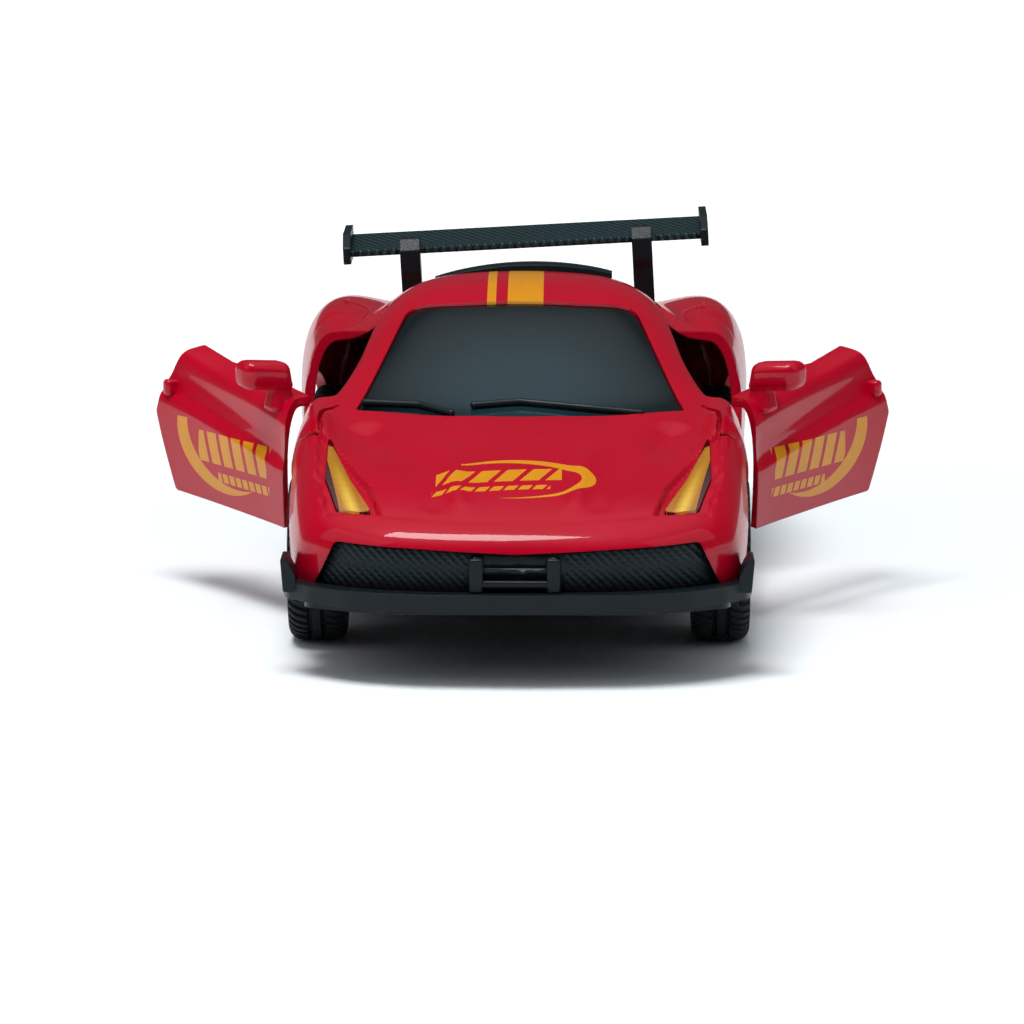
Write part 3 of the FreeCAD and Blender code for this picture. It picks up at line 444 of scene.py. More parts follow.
def red_lens():
    """Red plastic with upright moulded flutes, painted lighter on their crests and darker in their troughs
    as painted highlight and shade, with a random tone mixed in.
    """
    f = Finish("red_lens", Roughness=0.2, Coat_Weight=0.3, Coat_Roughness=0.04, Specular_IOR_Level=0.3)
    flutes = wave(f, f.x, 0.6)
    painted_light_mix = f.calc("MULTIPLY", f.calc("ADD", flutes, f.noise(2.0)), 0.5)
    f.colour(f.blend(painted_light_mix, LENS_PAINTED_SHADED, LENS_PAINTED_LIT))
    f.rough(f.spread(f.noise(1.0), 0.08, 0.2))
    return f.bump(flutes, 0.02, 0.5)


def rubber():
    """Dull black rubber, greyer where it has been handled."""
    f = Finish("tyre_rubber", Roughness=0.75, Specular_IOR_Level=0.3)
    f.colour(f.blend(f.noise(1.5, 4.0), RUBBER, RUBBER_WORN))
    f.rough(f.spread(f.noise(0.5, 3.0), 0.6, 0.9))
    return f.bump(f.noise(0.12, 3.0), 0.05, 0.7)


def plain(name, first, second, metallic, rough, grain, relief, turned_lines=False):
    """A mottled finish, with fine lines round the car's x axis where turned_lines is set."""
    f = Finish(name, Metallic=metallic, Roughness=rough)
    f.colour(f.blend(f.noise(2.0, 3.0), first, second))
    f.rough(f.spread(f.noise(grain * 3, 2.0), rough * 0.75, rough * 1.25))
    height = f.noise(grain, 2.0)
    if turned_lines:
        height = f.calc("ADD", height, wave(f, f.x, 0.13))
    return f.bump(height, relief, 0.6)


# Two tones, metallic, roughness, then grain and relief in millimetres.
PLAIN = {
    "interior_plastic": ((0.018, 0.019, 0.021), (0.030, 0.031, 0.034), 0, 0.6, 0.25, 0.05),
    "exhaust_chrome": ((0.62, 0.62, 0.64), (0.75, 0.75, 0.77), 1, 0.12, 0.4, 0.01),
    "axle_steel": ((0.45, 0.45, 0.47), (0.58, 0.58, 0.60), 1, 0.28, 0.3, 0.01, True),
    "spring_steel": ((0.20, 0.21, 0.26), (0.30, 0.32, 0.38), 1, 0.3, 0.3, 0.01, True),
    "rim_silver": ((0.50, 0.51, 0.53), (0.58, 0.59, 0.61), 0.85, 0.3, 0.2, 0.02),
    "gear_nylon": ((0.74, 0.71, 0.62), (0.82, 0.79, 0.70), 0, 0.42, 0.5, 0.02),
    "motor_plastic": ((0.10, 0.11, 0.12), (0.14, 0.15, 0.16), 0, 0.45, 0.3, 0.03),
}
FINISHES = {
    "body_paint": enamel("body_enamel", body_decals),
    "black_plastic": black_moulding("black_moulding"),
    "tinted_glazing": smoked_glazing(),
    "amber_lens": headlamp(),
    "red_lens": red_lens(),
    "tyre_rubber": rubber(),
    **{slot: plain(slot, *look) for slot, look in PLAIN.items()},
}
DOOR_ENAMEL = {side: enamel("door_enamel_" + name, door_decals,
                            ((side * HINGE[0], HINGE[1], 0.0), side * math.radians(DOOR_OPEN)))
               for name, side in (("left", 1), ("right", -1))}
WING_FINISH = black_moulding("wing_moulding", wing_weave, 0.34)
GRILLE_FINISH = black_moulding("grille_moulding", mesh_weave)


def floor():
    """A pale sheet under the car that glows white away from it, as an evenly lit backdrop does."""
    mesh = bpy.data.meshes.new("floor")
    corners = [(x * FLOOR_HALF, y * FLOOR_HALF, 0) for x, y in ((-1, -1), (1, -1), (1, 1), (-1, 1))]
    mesh.from_pydata(corners, [], [(0, 1, 2, 3)])
    obj = linked("floor", mesh)
    f = Finish("pale_floor", Roughness=0.6, Specular_IOR_Level=0.3)
    f.colour(f.blend(f.noise(40.0), (0.90, 0.94, 0.96), (0.92, 0.95, 0.97)))
    away = f.calc("SQRT", f.calc("ADD", f.calc("MULTIPLY", f.x, f.x), f.calc("MULTIPLY", f.y, f.y)))
    f.shader.inputs["Emission Color"].default_value = (1, 1, 1, 1)
    f.join(f.spread(away, 0.0, 0.70, *FLOOR_GLOW), f.shader.inputs["Emission Strength"])
    mesh.materials.append(f.bump(f.noise(0.8), 0.01, 0.3))


# ---- mesh tools ----
def new_object(name, verts, faces):
    """An object from points in millimetres."""
    mesh = bpy.data.meshes.new(name)
    mesh.from_pydata((np.asarray(verts, float) * MM).tolist(), [], faces)
    mesh.update()
    return linked(name, mesh)


def face_outwards(obj):
    """Turns every face of a closed mesh outwards."""
    bm = bmesh.new()
    bm.from_mesh(obj.data)
    bmesh.ops.recalc_face_normals(bm, faces=bm.faces)
    bm.to_mesh(obj.data)
    return obj


def tube_faces(ring, count):
    """The faces of a capped tube: count rings, with this many points in each ring."""
    faces = [list(range(ring)), list(range((count - 1) * ring, count * ring))[::-1]]
    for k in range(count - 1):
        for j in range(ring):
            a, b = k * ring + j, k * ring + (j + 1) % ring
            faces.append([a, a + ring, b + ring, b])
    return faces


def settle(obj):
    """Applies an object's modifiers to its mesh."""
    graph = bpy.context.evaluated_depsgraph_get()
    mesh = bpy.data.meshes.new_from_object(obj.evaluated_get(graph))
    obj.modifiers.clear()
    obj.data = mesh
    return obj


def joined(objects, name):
    """One object from several, which are removed."""
    bm = bmesh.new()
    for o in objects:
        mesh = o.data.copy()
        mesh.transform(o.matrix_world)
        bm.from_mesh(mesh)
        bpy.data.objects.remove(o)
    mesh = bpy.data.meshes.new(name)
    bm.to_mesh(mesh)
    return linked(name, mesh)


def combine(obj, others, operation="DIFFERENCE"):
    """Cuts obj by the others, or joins or intersects it with them. The others are removed."""
    tool = joined(others, "tool")
    bpy.context.view_layer.update()
    step = obj.modifiers.new("combine", "BOOLEAN")
    step.operation = operation
    step.solver = "MANIFOLD"
    step.object = tool
    settle(obj)
    bpy.data.objects.remove(tool)
    return obj


def smooth(obj, angle=32.0):
    """Smooth shading that breaks at edges sharper than the angle, weighted by face area."""
    obj.data.shade_smooth()
    obj.data.set_sharp_from_angle(angle=math.radians(angle))
    step = obj.modifiers.new("weights", "WEIGHTED_NORMAL")
    step.keep_sharp = True
    return settle(obj)


def round_corners(points, radius, steps=6):
    """A closed 2-D outline with each corner replaced by an arc. radius is one number or one per corner."""
    out = []
    n = len(points)
    for i in range(n):
        p = np.array(points[i], float)
        a = np.array(points[i - 1], float) - p
        b = np.array(points[(i + 1) % n], float) - p
        la, lb = np.linalg.norm(a), np.linalg.norm(b)
        a, b = a / la, b / lb
        half = math.acos(max(-1.0, min(1.0, float(a @ b)))) / 2
        r = radius[i] if isinstance(radius, (list, tuple)) else radius
        reach = min(r / math.tan(half), 0.45 * la, 0.45 * lb) if r and half < 1.55 else 0
        if reach < 1e-4:
            out.append(tuple(p))
            continue
        for k in range(steps + 1):
            t = k / steps
            out.append(tuple(p + a * reach * (1 - t) ** 2 + b * reach * t ** 2))
    return out


def circle(centre, radius, steps=96):
    """Points round a circle."""
    return [(centre[0] + radius * math.cos(2 * math.pi * k / steps),
             centre[1] + radius * math.sin(2 * math.pi * k / steps)) for k in range(steps)]


def prism(outline, plane, low, high):
    """A closed solid: the outline in the plane "xy", "xz" or "yz", swept from low to high across it."""
    order = {"xy": (0, 1, 2), "xz": (0, 2, 1), "yz": (2, 0, 1)}[plane]
    n = len(outline)
    verts = [[(a, b, h)[i] for i in order] for h in (low, high) for a, b in outline]
    faces = [list(range(n))[::-1], list(range(n, 2 * n))]
    faces += [[i, (i + 1) % n, n + (i + 1) % n, n + i] for i in range(n)]
    return face_outwards(new_object("prism", verts, faces))


def both_sides(outline, plane, low, high):
    """The prism and its mirror image across the car's middle plane."""
    if plane == "yz":
        return [prism(outline, plane, low, high), prism(outline, plane, -high, -low)]
    mirrored = [(-a, b) for a, b in outline]
    return [prism(outline, plane, low, high), prism(mirrored, plane, low, high)]


def leaned(obj):
    """Turned with the wing's lean, about the same line as in the design."""
    middle = Vector(WING_PIVOT) * MM
    turn = Matrix.Rotation(math.radians(-WING_LEAN), 4, "Y")
    obj.data.transform(Matrix.Translation(middle) @ turn @ Matrix.Translation(-middle))
    return obj


# ---- the body's form, on the same guides as the design ----
GUIDES = {
    "centre": {"x": [(0, 0.0)],
               "z": [(-58.5, 17.0), (-50, 19.5), (-38, 22.0), (-28, 23.6), (-24, 24.4), (-10, 29.9),
                     (0, 33.4), (10, 34.9), (22, 34.1), (34, 30.9), (46, 28.0), (54, 26.9)]},
    "pillar": {"x": [(-58.5, 12.8), (-50, 14.0), (-38, 15.6), (-20, 19.3), (3, 14.3), (10, 13.6),
                     (22, 12.7), (34, 11.6), (54, 11.2)],
               "z": [(-58.5, 16.6), (-50, 18.9), (-38, 21.3), (-20, 24.1), (3, 33.0), (10, 33.9),
                     (22, 32.8), (34, 29.6), (46, 27.3), (54, 26.5)]},
    "belt": {"x": [(-50, 17.6), (-38, 18.2), (-25, 19.7), (-17, 20.7), (0, 20.9), (10, 20.3),
                   (22, 17.4), (34, 15.6), (54, 15.2)],
             "z": [(-50, 18.5), (-38, 20.9), (-25, 22.9), (-17, 24.0), (0, 24.6), (10, 26.3),
                   (22, 27.8), (34, 27.6), (46, 26.7), (54, 26.0)]},
    "crest": {"x": [(-50, 20.4), (-38, 21.4), (-25, 22.3), (-17, 22.9), (0, 22.9), (10, 22.9),
                    (22, 22.6), (34, 22.2), (46, 21.7), (54, 20.8)],
              "z": [(-58, 15.6), (-50, 18.8), (-38, 23.0), (-25, 25.2), (-17, 24.7), (0, 24.9),
                    (10, 27.2), (22, 29.9), (34, 30.4), (46, 29.0), (54, 27.0)]},
    "upper": {"x": [(-50, 22.9), (-38, 24.5), (-25, 25.0), (-17, 24.6), (0, 24.1), (10, 24.6),
                    (22, 25.8), (34, 26.1), (46, 25.5), (54, 23.8)],
              "z": [(-50, 16.0), (-38, 19.2), (-25, 20.9), (-17, 20.4), (0, 20.6), (10, 21.8),
                    (22, 24.6), (34, 25.6), (46, 24.8), (54, 23.2)]},
    "waist": {"x": [(-50, 23.4), (-38, 24.9), (-25, 25.1), (-17, 24.6), (0, 24.4), (10, 24.9),
                    (22, 26.0), (34, 26.2), (46, 25.7), (54, 24.0)],
              "z": [(-50, 12.2), (-38, 13.6), (-25, 14.6), (0, 15.4), (22, 17.5), (34, 18.5),
                    (54, 16.5)]},
    "lower": {"x": [(-50, 23.2), (-38, 24.5), (-25, 24.6), (-17, 24.1), (0, 24.0), (10, 24.4),
                    (22, 25.3), (34, 25.6), (46, 25.1), (54, 23.6)],
              "z": [(0, 9.6)]},
    "sill": {"x": [(-50, 22.9), (-38, 24.2), (-25, 24.2), (-17, 23.8), (0, 23.7), (10, 24.0),
                   (22, 24.9), (34, 25.2), (46, 24.7), (54, 23.2)],
             "z": [(0, BASE_Z)]},
}
SIDE_GUIDES = ["pillar", "belt", "crest", "upper", "waist", "lower", "sill"]
ROWS = [(-50, 12), (-38, 13), (-28, 14.5), (-23.5, 14.5), (-10, 13), (0, 11), (10, 6), (22, 2.5),
        (34, 0), (46, -7), (54, -13)]
NOSE_ROWS = [(1.6, 8.0), (0.3, 11.0), (0.0, 14.2), (1.9, 17.0)]
NOSE_X = [0.0, 6.6, 12.4, 16.6, 19.8, 21.9, 23.0, 23.5, 23.7]
TAIL_ROWS = [(1.0, 25.0), (0.0, 19.5), (1.4, 12.0)]
TAIL_X = [0.0, 6.6, 12.4, 16.8, 20.2, 22.4, 23.5, 24.1, 24.4]
NOSE_RIM = [(0, -59.1), (6.4, -59.0), (12.2, -58.1), (16.2, -56.6), (19.3, -54.6), (21.4, -52.7),
            (22.5, -51.2), (22.9, -49.9), (23.1, -48.7)]
TAIL_RIM = [(0, 55.4), (6.4, 55.4), (12.2, 55.1), (16.5, 54.3), (19.9, 53.2), (22.0, 52.1), (23.1, 51.1),
            (23.7, 50.2), (24.0, 49.4)]
CORNER_STEP = 2.6
# How far each end is swept back at a half width, and the power it follows.
NOSE_SWEEP = (9.6, 23.5, 3.6)
TAIL_SWEEP = (5.5, 23.6, 4.0)
# The column of poles between the centre and the pillar, as a share of the pillar's width.
BETWEEN = 0.52


def at(pairs, y):
    """The value at y along a guide of (y, value) pairs."""
    return float(np.interp(y, [p[0] for p in pairs], [p[1] for p in pairs]))


def guide_point(name, y):
    """The point of a guide at y."""
    return (at(GUIDES[name]["x"], y), y, at(GUIDES[name]["z"], y))


def swept(x, sweep, half_width, power):
    return sweep * (x / half_width) ** power


def nose_outline(x):
    return NOSE_Y + swept(x, *NOSE_SWEEP)


def tail_outline(x):
    return TAIL_Y - swept(x, *TAIL_SWEEP)


def end_row(i, rows, xs, outline, sign):
    """A row of poles across the nose or tail, then back along the side."""
    set_back, z = rows[i]
    turn = len(xs) - 2 - i
    row = []
    for j, x in enumerate(xs):
        if j <= turn:
            row.append((x, outline(x) - sign * set_back * (1 - 0.5 * (x / 24) ** 4), z))
        else:
            y = row[turn][1] - sign * CORNER_STEP * (j - turn)
            row.append(guide_point((["centre", "centre"] + SIDE_GUIDES)[j], y))
    return row


def pole_rows():
    """The poles of one half, row by row from nose to tail, each row from the centre to the sill."""
    rows = [[(x, y, BASE_Z) for x, y in NOSE_RIM]]
    rows += [end_row(i, NOSE_ROWS, NOSE_X, nose_outline, -1) for i in range(len(NOSE_ROWS))]
    for y_mid, bow in ROWS:
        centre = guide_point("centre", y_mid)
        row = [centre]
        for name in SIDE_GUIDES:
            x = at(GUIDES[name]["x"], y_mid)
            row.append(guide_point(name, y_mid + bow * (x / 25) ** 2))
        px, pz = row[1][0], row[1][2]
        row.insert(1, (BETWEEN * px, y_mid + bow * (BETWEEN * px / 25) ** 2,
                       centre[2] - 0.2 * (centre[2] - pz)))
        rows.append(row)
    rows += [end_row(i, TAIL_ROWS[::-1], TAIL_X, tail_outline, 1) for i in (2, 1, 0)]
    rows.append([(x, y, BASE_Z) for x, y in TAIL_RIM])
    half = np.array(rows, float)
    return np.concatenate([half[:, :0:-1], half * (-1, 1, 1)], 1)


def knot_line(count):
    """The clamped uniform knots of a cubic B-spline with count poles."""
    return np.concatenate([np.zeros(3), np.arange(count - 2.0), np.full(3, count - 3.0)])


def basis(count, where):
    """Cubic B-spline weights of count poles at each parameter."""
    knots = knot_line(count)
    t = np.minimum(np.asarray(where, float), count - 3 - 1e-9)[:, None]
    weights = ((knots[:-1] <= t) & (t < knots[1:])).astype(float)
    for degree in (1, 2, 3):
        rise = knots[degree:-1] - knots[:-degree - 1]
        fall = knots[degree + 1:] - knots[1:-degree]
        left = (t - knots[:-degree - 1]) / np.where(rise > 0, rise, 1) * (rise > 0) * weights[:, :-1]
        right = (knots[degree + 1:] - t) / np.where(fall > 0, fall, 1) * (fall > 0) * weights[:, 1:]
        weights = left + right
    return weights


def evaluate(poles, u, v):
    """The skin's points at a grid of parameters."""
    return np.einsum("ui,vj,ijk->uvk", basis(poles.shape[0], u), basis(poles.shape[1], v), poles)


def outward(poles, u, v):
    """Unit normals at a grid of parameters."""
    step = 1e-3
    top_u, top_v = poles.shape[0] - 3, poles.shape[1] - 3
    u = np.clip(u, step, top_u - step)
    v = np.clip(v, step, top_v - step)
    along = evaluate(poles, u + step, v) - evaluate(poles, u - step, v)
    across = evaluate(poles, u, v + step) - evaluate(poles, u, v - step)
    n = np.cross(along, across)
    return n / np.linalg.norm(n, axis=2, keepdims=True)


def greville(count):
    """The parameter at which each pole pulls hardest, kept just inside the ends."""
    knots = knot_line(count)
    return np.clip(np.array([knots[i + 1:i + 4].mean() for i in range(count)]), 0.02, count - 3.02)


def inset(poles, depth):
    """The poles moved inwards along the skin's normals, with the rim kept at its height."""
    n = outward(poles, greville(poles.shape[0]), greville(poles.shape[1]))
    out = poles - depth * n
    middle = poles.shape[1] // 2
    out[:, middle, 0] = 0.0
    for edge in (np.s_[0], np.s_[-1], np.s_[:, 0], np.s_[:, -1]):
        out[edge][..., 2] = BASE_Z
    return out


def even_parameters(line, top, count, weight):
    """count parameters from 0 to top, spaced evenly by length along a line, after weighting."""
    fine = np.linspace(0, top, len(line))
    steps = np.linalg.norm(np.diff(line, axis=0), axis=1) * weight
    total = np.concatenate([[0], np.cumsum(steps)])
    return np.interp(np.linspace(0, total[-1], count), total, fine)


def polyline_distance(x, y, path):
    """Distance in plan from each point to a path, and how far along the path its foot is, from 0 to 1."""
    best = np.full(x.shape, 1e9)
    share = np.zeros(x.shape)
    for k in range(len(path) - 1):
        a, b = np.array(path[k], float), np.array(path[k + 1], float)
        d = b - a
        t = np.clip(((x - a[0]) * d[0] + (y - a[1]) * d[1]) / (d @ d), 0, 1)
        far = np.hypot(x - a[0] - t * d[0], y - a[1] - t * d[1])
        share = np.where(far < best, (k + t) / (len(path) - 1), share)
        best = np.minimum(best, far)
    return best, share


def step(value, low, high):
    """0 below low and 1 above high, with a smooth rise between them."""
    t = np.clip((value - low) / (high - low), 0, 1)
    return t * t * (3 - 2 * t)


def inside_by(x, y, outline):
    """Signed distance to an outline in plan, positive inside."""
    far, _ = polyline_distance(x, y, list(outline) + [outline[0]])
    crossings = np.zeros(x.shape, int)
    for (x0, y0), (x1, y1) in zip(outline, list(outline[1:]) + [outline[0]]):
        straddles = (y0 > y) != (y1 > y)
        with np.errstate(divide="ignore", invalid="ignore"):
            cross_x = x0 + (x1 - x0) * (y - y0) / (y1 - y0)
        crossings += (straddles & (x < cross_x)).astype(int)
    return np.where(crossings % 2 == 1, far, -far)


LAMP_RECESS = [(21.6, -31.2), (21.5, -44.5), (19.9, -52.4), (14.2, -54.4), (15.4, -47.6), (18.6, -38.4)]
HAUNCH_DENT = [(24.6, 21.0), (22.9, 26.2), (20.6, 22.4)]
NOSE_CREASE = [(0, -57.3), (8, -56.5), (15.0, -54.2)]
HOOD_VALLEY = [(17.4, -26.0), (15.6, -33.0), (14.6, -42.0)]
WING_CREST = [(21.6, -22.5), (21.4, -28.0), (21.0, -33.0)]


def swell(off, width):
    """1 along the middle of a ridge, falling away over this width to each side."""
    return np.exp(-(off / width) ** 2)


def relief(p):
    """How far each point of the skin is moved out, in millimetres: creases, ridges and dents."""
    x, y, z = np.abs(p[..., 0]), p[..., 1], p[..., 2]
    on_hood = step(z, 13.0, 15.0)
    out = np.zeros(x.shape)
    # two soft ridges down the hood, and a valley beside each
    ridge = swell(x - 6.3 - 0.10 * (y + 50), 1.1) - 0.6 * swell(x - 9.2 - 0.16 * (y + 50), 1.5)
    out += 0.34 * ridge * step(y, -57, -53) * (1 - step(y, -41, -33)) * on_hood
    # the crease across the nose, above the lip
    crease, _ = polyline_distance(x, y, NOSE_CREASE)
    out -= 0.10 * swell(crease, 0.7) * step(z, 15.0, 16.0) * (1 - step(x, 13.5, 15.5))
    # the shallow recess that holds each headlight
    out -= 0.60 * step(inside_by(x, y, LAMP_RECESS), -0.1, 0.40) * on_hood
    # the valley from the windscreen's corner into the hood
    valley, share = polyline_distance(x, y, HOOD_VALLEY)
    out -= 0.7 * swell(valley, 1.9) * step(share, 0.0, 0.3) * (1 - step(share, 0.5, 1.0)) * (z > 15)
    # the raised crest of each front wing
    crest, share = polyline_distance(x, y, WING_CREST)
    out += 0.35 * swell(crest, 0.9) * step(share, 0.0, 0.2) * (1 - step(share, 0.8, 1.0)) * (z > 15)
    # the dent on top of each rear haunch
    out -= 0.3 * step(inside_by(x, y, HAUNCH_DENT), 0.0, 1.1) * (z > 20)
    # the crease along the door, with a hollow above it
    above = z - (16.6 + (y + 17) * 0.165)
    hollow = 0.55 * step(above, -0.2, 1.2) * (1 - step(above, 2.4, 5.4))
    out -= hollow * step(y, -19.5, -15) * (1 - step(y, 11, 16)) * (x > 20)
    return out


ROW_COUNT = 400
COLUMN_COUNT = 241
FINE_COUNT = 1500
SPINE_ASIDE = 3.3
RIB_AT = 7.3
HOOD_END_Y = -30
HOOD_WEIGHT = 1.6
POLES = pole_rows()


def grid_parameters():
    """Parameters that space the skin's grid evenly, and closer together over the hood."""
    top_u, top_v = POLES.shape[0] - 3, POLES.shape[1] - 3
    spine = evaluate(POLES, np.linspace(0, top_u, FINE_COUNT), [top_v / 2 - SPINE_ASIDE])[:, 0]
    weight = np.where(spine[1:, 1] < HOOD_END_Y, HOOD_WEIGHT, 1.0)
    rib = evaluate(POLES, [RIB_AT], np.linspace(0, top_v, FINE_COUNT))[0]
    return (even_parameters(spine, top_u, ROW_COUNT, weight),
            even_parameters(rib, top_v, COLUMN_COUNT, 1.0))


def grid_faces(rows, columns, start=0, flip=False):
    """The faces of a grid whose first vertex is number start."""
    i, j = np.meshgrid(np.arange(rows - 1), np.arange(columns - 1), indexing="ij")
    a = start + i * columns + j
    quads = np.stack([a, a + columns, a + columns + 1, a + 1], -1).reshape(-1, 4)
    return (quads[:, ::-1] if flip else quads).tolist()


def rim_loop(rows, columns, start=0):
    """Vertex numbers round the edge of a grid."""
    first = [start + j for j in range(columns)]
    last = [start + i * columns + columns - 1 for i in range(1, rows)]
    back = [start + (rows - 1) * columns + j for j in range(columns - 2, -1, -1)]
    home = [start + i * columns for i in range(rows - 2, 0, -1)]
    return first + last + back + home


def wall(name, depth):
    """The closed wall between the detailed skin and the surface set in by depth."""
    u, v = grid_parameters()
    skin = evaluate(POLES, u, v)
    skin = skin + outward(POLES, u, v) * relief(skin)[..., None]
    under = evaluate(inset(POLES, depth), u, v)
    rows, columns = len(u), len(v)
    count = rows * columns
    faces = grid_faces(rows, columns) + grid_faces(rows, columns, count, True)
    outer, inner = rim_loop(rows, columns), rim_loop(rows, columns, count)
    for k in range(len(outer)):
        m = (k + 1) % len(outer)
        faces.append([outer[k], outer[m], inner[m], inner[k]])
    return new_object(name, np.concatenate([skin.reshape(-1, 3), under.reshape(-1, 3)]), faces)


# ---- openings, as in the design ----
WINDSCREEN = [(-17.9, -22.6), (-9.8, -26.3), (0, -27.3), (9.8, -26.3), (17.9, -22.6), (12.7, 1.2),
              (7.0, -0.2), (-7.0, -0.2), (-12.7, 1.2)]
WINDSCREEN_R = [1.0, 20, 20, 20, 1.0, 2.0, 20, 20, 2.0]
ENGINE_COVER = [(-10.5, 19.5), (10.5, 19.5), (9.6, 46.0), (-9.6, 46.0)]
HEADLIGHT = [(20.4, -32.6), (20.3, -44.5), (18.9, -51.4), (15.0, -53.4), (17.7, -44.2)]
HEADLIGHT_R = [0.3, 3, 0.8, 0.6, 6]
GRILLE = [(-18.9, 14.7), (-10.0, 14.45), (0, 14.0), (10.0, 14.45), (18.9, 14.7), (21.5, 9.0),
          (-21.5, 9.0)]
GRILLE_R = [0.8, 10, 20, 10, 0.8, 0.6, 0.6]
DOORWAY = [(-17.8, 9.9), (-17.8, 23.7), (-6.7, 27.2), (3.0, 29.8), (9.0, 31.1), (15.0, 31.8),
           (16.9, 30.6), (15.0, 27.5), (13.6, 19.5), (9.7, 10.7)]
DOOR = [(-18.5, 10.2), (9.4, 11.0), (13.25, 19.6), (12.3, 23.2), (10.4, 27.2), (3.0, 26.0),
        (-18.5, 26.0)]
TAIL_LIGHT = ((17.0, 20.6), 2.3)
DIFFUSER = [(-16.4, 8.4), (-15.2, 12.9), (15.2, 12.9), (16.4, 8.4)]
ARCHES = [((FRONT_AXLE_Y, AXLE_Z), 10.3), ((REAR_AXLE_Y, AXLE_Z), 10.6)]
UNDER_NOSE = [(-30, -70), (30, -70), (30, -43.5), (-30, -43.5)]
# Panel lines in plan, for the +X side.
PANEL_LINES = [[(19.9, -19.6), (21.3, -22.4), (21.6, -27.6), (21.3, -32.2)],
               [(21.5, -32.8), (22.8, -31.2), (24.2, -28.6)],
               [(11.8, 18.0), (11.2, 34.0), (10.9, 49.0)]]
LINE_WIDTH = 0.55
LINE_DEPTH = 0.75
# The cutter's section: across as a share of the width, and down as a share of the depth.
LINE_SECTION = ((-0.5, -0.6), (-0.5, 0.0), (-0.2, 1.0), (0.2, 1.0), (0.5, 0.0), (0.5, -0.6))
ABOVE_CAR = 60


def shut_cylinder(side, radius):
    """The upright cylinder about a door's hinge, along which the door and its frame meet."""
    return prism(circle((side * HINGE[0], HINGE[1]), radius, 128), "xy", 0, 50)


def groove(skin, path, width, depth):
    """A cutter along a path in plan: a strip that follows the skin and reaches this deep into it."""
    fine = []
    for k in range(len(path) - 1):
        for t in np.linspace(0, 1, 12, endpoint=k == len(path) - 2):
            fine.append(np.array(path[k]) * (1 - t) + np.array(path[k + 1]) * t)
    kernel = np.array([1, 2, 3, 2, 1]) / 9
    line = np.array(fine)
    padded = np.pad(line, ((2, 2), (0, 0)), mode="edge")
    line[1:-1] = np.stack([np.convolve(padded[:, c], kernel, "valid") for c in (0, 1)], 1)[1:-1]
    verts = []
    for k, (x, y) in enumerate(line):
        hit, normal, _, _ = skin.ray_cast(Vector((x, y, ABOVE_CAR)) * MM, Vector((0, 0, -1)))
        hit = hit / MM
        ahead = line[min(k + 1, len(line) - 1)] - line[max(k - 1, 0)]
        side = Vector((ahead[0], ahead[1], 0)).cross(normal).normalized()
        end = min(k, len(line) - 1 - k)
        reach = depth * min(1.0, 0.25 + end / 6)
        for across, down in LINE_SECTION:
            lift = -down * reach if down > 0 else -down
            verts.append(hit + side * across * width + normal * lift)
    return face_outwards(new_object("groove", verts, tube_faces(len(LINE_SECTION), len(line))))


def body():
    """The painted casting: its wall, cut by every opening and then by the panel lines."""
    shell = wall("body_casting", WALL)
    skin = BVHTree.FromObject(shell, bpy.context.evaluated_depsgraph_get())
    cutters = []
    for side in (-1, 1):
        low, high = sorted((side * DOORWAY_INNER_X, side * CLEAR_X))
        doorway = prism(round_corners(DOORWAY, 0.8), "yz", low, high)
        cutters.append(combine(doorway, [shut_cylinder(side, DOOR_SHUT_R - SHUT_GAP / 2)]))
    cutters.append(prism(round_corners(WINDSCREEN, WINDSCREEN_R), "xy", 10, 45))
    cutters.append(prism(round_corners(ENGINE_COVER, 2.0), "xy", 15, 45))
    cutters += both_sides(round_corners(HEADLIGHT, HEADLIGHT_R), "xy", 10, 40)
    cutters.append(prism(round_corners(GRILLE, GRILLE_R), "xz", -64, -50))
    cutters.append(prism(round_corners(DIFFUSER, 0.8), "xz", 48, 62))
    cutters += both_sides(circle(*TAIL_LIGHT), "xz", 48, 62)
    for centre, radius in ARCHES:
        cutters += both_sides(circle(centre, radius, 128), "yz", ARCH_X, CLEAR_X)
    for side in (-1, 1):
        front, back = STAY_SLOT_Y
        corners = ((-1, front), (1, front), (1, back), (-1, back))
        slot = [(side * STAY_X + a * STAY_SLOT_HALF_W, b) for a, b in corners]
        cutters.append(leaned(prism(slot, "xy", 20, 34)))
    cutters.append(prism(UNDER_NOSE, "xy", 0, NOSE_LIP_Z))
    combine(shell, cutters)
    grooves = []
    for path in PANEL_LINES:
        for side in (-1, 1):
            grooves.append(groove(skin, [(side * x, y) for x, y in path], LINE_WIDTH, LINE_DEPTH))
    combine(shell, grooves)
    return smooth(shell)


def rounded_block(low, high, radius, segments=4):
    """A block with rounded edges."""
    bm = bmesh.new()
    bmesh.ops.create_cube(bm, size=1.0)
    middle = (np.array(low) + np.array(high)) / 2
    size = np.array(high) - np.array(low)
    for v in bm.verts:
        v.co = Vector((middle + np.array(v.co) * size) * MM)
    bmesh.ops.bevel(bm, geom=bm.edges[:], offset=radius * MM, segments=segments, profile=0.5,
                    affect="EDGES", clamp_overlap=True)
    bmesh.ops.triangulate(bm, faces=bm.faces)
    mesh = bpy.data.meshes.new("block")
    bm.to_mesh(mesh)
    return linked("block", mesh)


# Each block's low and high corner, on the closed +X door.
MIRROR_HEAD = ((21.8, -14.6, 24.9), (27.3, -11.2, 28.2))
MIRROR_NECK = ((21.7, -14.2, 22.6), (23.9, -11.8, 25.8))
CATCH_TAB = ((23.3, 10.4, 21.5), (25.0, 11.8, 23.4))
HEAD_W = 5.5
HEAD_TAPER_Z = 26.4
NECK_MIDDLE = (22.6, -13.0)
FLARE_Z = 24.4
FLARE_H = 1.8


